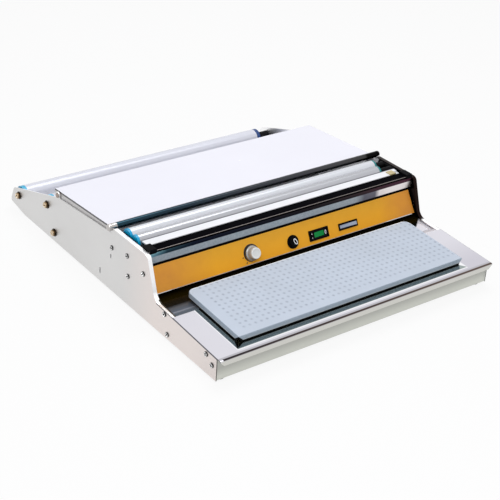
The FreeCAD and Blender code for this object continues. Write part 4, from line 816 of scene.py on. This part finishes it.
def fluted_knob():
    """Stepped knob on the label: a flanged foot, then a fluted grip.

    The outline's points are (radius, height), from the shaft out over the foot, up the grip and
    in over the crown. The grip's radius is radius * (1 - depth * (1 - |sin(flutes / 2 * angle)|
    ** 0.7)), and the depth fades in at the grip's foot and out at its top.
    """
    outline = np.array([
        (9.0, 3.6), (9.0, 0.6), (12.8, 0.6), (13.2, 1.0), (13.2, 2.6), (13.0, 3.0), (12.5, 3.3),
        (11.6, 3.5), (11.3, 3.8), (11.1, 4.5), (11.0, 5.8), (10.7, 8.7), (10.4, 11.6), (10.2, 12.7),
        (10.0, 13.5), (9.5, 14.1), (8.8, 14.4), (7.8, 14.5), (7.4, 14.3), (7.0, 14.1), (3.0, 14.05),
        (0.5, 14.05)])
    radius, height = outline.T
    angle = np.linspace(0.0, 2.0 * np.pi, 8 * KNOB_FLUTES, endpoint=False)
    depth = 0.075 * eased(height, 3.8, 4.8) * (1.0 - eased(height, 13.1, 14.3)) * (radius > 9.4)
    ridge = np.abs(np.sin(KNOB_FLUTES / 2.0 * angle)) ** 0.7
    wide = radius[:, None] * (1.0 - depth[:, None] * (1.0 - ridge))
    rings = on_label(KNOB_PLACE[0] + wide * np.cos(angle), KNOB_PLACE[1] + wide * np.sin(angle),
                     height[:, None] + 0.0 * angle)
    knob = closed_shell("fluted_knob", rings[None], knob_chrome, "heat_knob", crease=40.0)
    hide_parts("heat_knob")


def ribbon(name, path, widths, lift, thickness, material, body, seat=on_label):
    """Thin flat mark on a face, print and painted shadow alike: a flat section carried along a path of
    (across, up) points.

    The section's half width follows `widths`, square to the path, and its foot lies at `lift`.
    """
    path = np.array(path, float)
    ahead = np.gradient(path, axis=0)
    ahead /= np.linalg.norm(ahead, axis=1)[:, None]
    square = np.stack([-ahead[:, 1], ahead[:, 0]], 1)
    wide = np.broadcast_to(widths, len(path))[:, None, None]
    edge = np.array([-1.0, 1.0, 1.0, -1.0])[None, :, None]
    flat = path[:, None, :] + square[:, None, :] * wide * edge
    rise = lift + np.array([0.0, 0.0, thickness, thickness])
    rings = seat(flat[..., 0], flat[..., 1], rise[None, :] + 0.0 * flat[..., 0])
    return closed_shell(name, rings[None], material, body, crease=20.0)


def arc(centre, radius, start, stop, count):
    """Points on a circle between two angles in degrees."""
    angle = np.radians(np.linspace(start, stop, count))
    return np.stack([centre[0] + radius * np.cos(angle), centre[1] + radius * np.sin(angle)], 1)


def dial_ticks_and_knob_shadow():
    """Heat scale ticks and the knob's shadow: a black ring of painted shadow round the knob, widest
    above, and two radial ticks at its left.
    """
    count = 60
    sweep = np.linspace(0.0, 1.0, count)
    widths = 0.6 + 1.4 * np.sin(np.pi * sweep) ** 2
    # Painted shadow: a black ring round the knob's left and top.
    marks = [ribbon("knob_painted_shadow", arc(KNOB_PLACE, DIAL_RADIUS, 265.0, 15.0, count), widths,
                    -0.02, 0.05, black_ink_and_painted_shadow, "frame")]
    for number, turn in enumerate(DIAL_TICKS):
        start, stop = (arc(KNOB_PLACE, DIAL_RADIUS + reach, turn, turn, 1)[0] for reach in (2.7, 5.9))
        marks.append(ribbon(f"dial_tick_{number}", [start, (start + stop) / 2.0, stop], 0.75,
                            -0.02, 0.05, black_ink_and_painted_shadow, "frame"))


def on_cutter_rocker(across, up, out):
    """Points on the tilted rocker: `across` and `up` from its middle, `out` above its V-shaped face.

    The face's height over the pivot is 1.6 in the middle and 1.2 more at the rocker's ends. The
    rocker is turned by its tilt about the pivot, which lies 1 below the label.
    """
    tilt = math.radians(ROCKER_TILT)
    across, up, out = np.broadcast_arrays(across, up, out)
    height = 1.6 + 1.2 * np.abs(across) / ROCKER_HALF + out
    swung = across * math.cos(tilt) + height * math.sin(tilt)
    raised = -across * math.sin(tilt) + height * math.cos(tilt)
    return on_label(CUTTER_SWITCH_PLACE[0] + swung, CUTTER_SWITCH_PLACE[1] + up, raised - 1.0)


def oval(centre, across, up, turn, count=40):
    """Closed path: an ellipse of the given half sizes, turned by an angle in degrees."""
    angle = np.linspace(0.0, 2.0 * np.pi, count)
    one = across * np.cos(angle)
    other = up * np.sin(angle)
    tilt = math.radians(turn)
    return np.stack([centre[0] + one * math.cos(tilt) - other * math.sin(tilt),
                     centre[1] + one * math.sin(tilt) + other * math.cos(tilt)], 1)


def switch_marks():
    """White dots and a long ring on the rocker's two ends, and the outlined slot of the fuse cap."""
    rocker = "cutter_switch_rocker"
    rounds = [("rocker_dot_0", (-17.2, -3.6), (0.5, 0.5)), ("rocker_dot_1", (-17.2, 3.6), (0.5, 0.5)),
              ("rocker_ring", (15.6, 0.0), (1.3, 3.4))]
    marks = [ribbon(name, oval(centre, *half, 0.0), 0.5, -PRINT_SUNK, 2.0 * PRINT_SUNK, white_ink,
                    rocker, on_cutter_rocker) for name, centre, half in rounds]
    middle = (FUSE_PLACE[0] + 2.2, FUSE_PLACE[1] + 0.3)
    marks.append(ribbon("fuse_slot_mark", oval(middle, 2.6, 5.2, 26.0), 0.75,
                        FUSE_FACE - PRINT_SUNK, 2.0 * PRINT_SUNK, white_ink, "fuse_cap"))


# Black ink for the dial's ticks and for the knob's painted shadow.
black_ink_and_painted_shadow = moulded_plastic("black print ink", (0.010, 0.009, 0.008), 0.40, 0.5, depth=0.000002).material
white_ink = moulded_plastic("white print ink", (0.80, 0.81, 0.83), 0.40, 0.5, depth=0.000002).material
panel_screws()
fluted_knob()
dial_ticks_and_knob_shadow()
switch_marks()


# Studio: a pale floor, a bright room, two soft lamps and the camera.


def seen_straight(tree):
    """1 for rays from the camera and for mirrored or transmitted views, 0 for the light itself."""
    rays = tree.nodes.new("ShaderNodeLightPath")
    seen = rays.outputs["Is Camera Ray"]
    for kind in ("Is Glossy Ray", "Is Transmission Ray"):
        larger = tree.nodes.new("ShaderNodeMath")
        larger.operation = "MAXIMUM"
        tree.links.new(seen, larger.inputs[0])
        tree.links.new(rays.outputs[kind], larger.inputs[1])
        seen = larger.outputs[0]
    return seen


def pale_floor():
    """A wide plain sheet under the feet; seen directly it reads almost white."""
    half, whiteness = 6.0, 0.86
    corners = [(-half, -half, 0.0), (half, -half, 0.0), (half, half, 0.0), (-half, half, 0.0)]
    mesh = bpy.data.meshes.new("floor")
    mesh.from_pydata(corners, [], [(0, 1, 2, 3)])
    floor = bpy.data.objects.new("floor", mesh)
    bpy.context.scene.collection.objects.link(floor)
    made = bpy.data.materials.new("pale floor")
    made.use_nodes = True
    tree = made.node_tree
    tree.nodes.clear()
    output = tree.nodes.new("ShaderNodeOutputMaterial")
    matt = tree.nodes.new("ShaderNodeBsdfDiffuse")
    matt.inputs["Color"].default_value = (0.82, 0.82, 0.83, 1.0)
    glow = tree.nodes.new("ShaderNodeEmission")
    glow.inputs["Strength"].default_value = 1.0
    share = tree.nodes.new("ShaderNodeMath")
    share.operation = "MULTIPLY"
    share.inputs[1].default_value = whiteness
    tree.links.new(seen_straight(tree), share.inputs[0])
    mix = tree.nodes.new("ShaderNodeMixShader")
    tree.links.new(share.outputs[0], mix.inputs[0])
    tree.links.new(matt.outputs[0], mix.inputs[1])
    tree.links.new(glow.outputs[0], mix.inputs[2])
    tree.links.new(mix.outputs[0], output.inputs[0])
    mesh.materials.append(made)


def bright_room():
    """Room light at a plain level; direct and mirrored views of it are white."""
    world = bpy.data.worlds.new("room")
    bpy.context.scene.world = world
    world.use_nodes = True
    tree = world.node_tree
    room = tree.nodes["Background"]
    room.inputs["Color"].default_value = (1.0, 1.0, 1.0, 1.0)
    strength = tree.nodes.new("ShaderNodeMapRange")
    strength.inputs["To Min"].default_value = 0.55
    strength.inputs["To Max"].default_value = 1.0
    tree.links.new(seen_straight(tree), strength.inputs["Value"])
    tree.links.new(strength.outputs["Result"], room.inputs["Strength"])


def soft_lamp(name, place, aim, width, power):
    """A square area lamp that looks at a point."""
    lamp = bpy.data.lights.new(name, "AREA")
    lamp.size = width
    lamp.energy = power
    holder = bpy.data.objects.new(name, lamp)
    bpy.context.scene.collection.objects.link(holder)
    holder.location = place
    holder.rotation_euler = (Vector(aim) - Vector(place)).to_track_quat("-Z", "Y").to_euler()


def photo_camera():
    """Camera where the photograph was taken from, with its slight roll."""
    lens = bpy.data.cameras.new("camera")
    lens.sensor_width = 36.0
    lens.lens = 88.5
    camera = bpy.data.objects.new("camera", lens)
    bpy.context.scene.collection.objects.link(camera)
    right = Vector((0.80662, -0.58848, 0.05534))
    up = Vector((0.24884, 0.42300, 0.87129))
    back = right.cross(up)
    turn = Matrix((right, up, back)).transposed().to_4x4()
    camera.matrix_world = Matrix.Translation((-1.2087, -1.5798, 1.0997)) @ turn
    bpy.context.scene.camera = camera


pale_floor()
bright_room()
soft_lamp("key lamp", (-0.9, -1.4, 2.2), (0.0, 0.0, 0.0), 1.4, 26.0)
soft_lamp("top lamp", (0.55, 0.45, 2.4), (0.0, 0.1, 0.0), 1.4, 20.0)
photo_camera()
bpy.context.scene.view_settings.view_transform = "Standard"
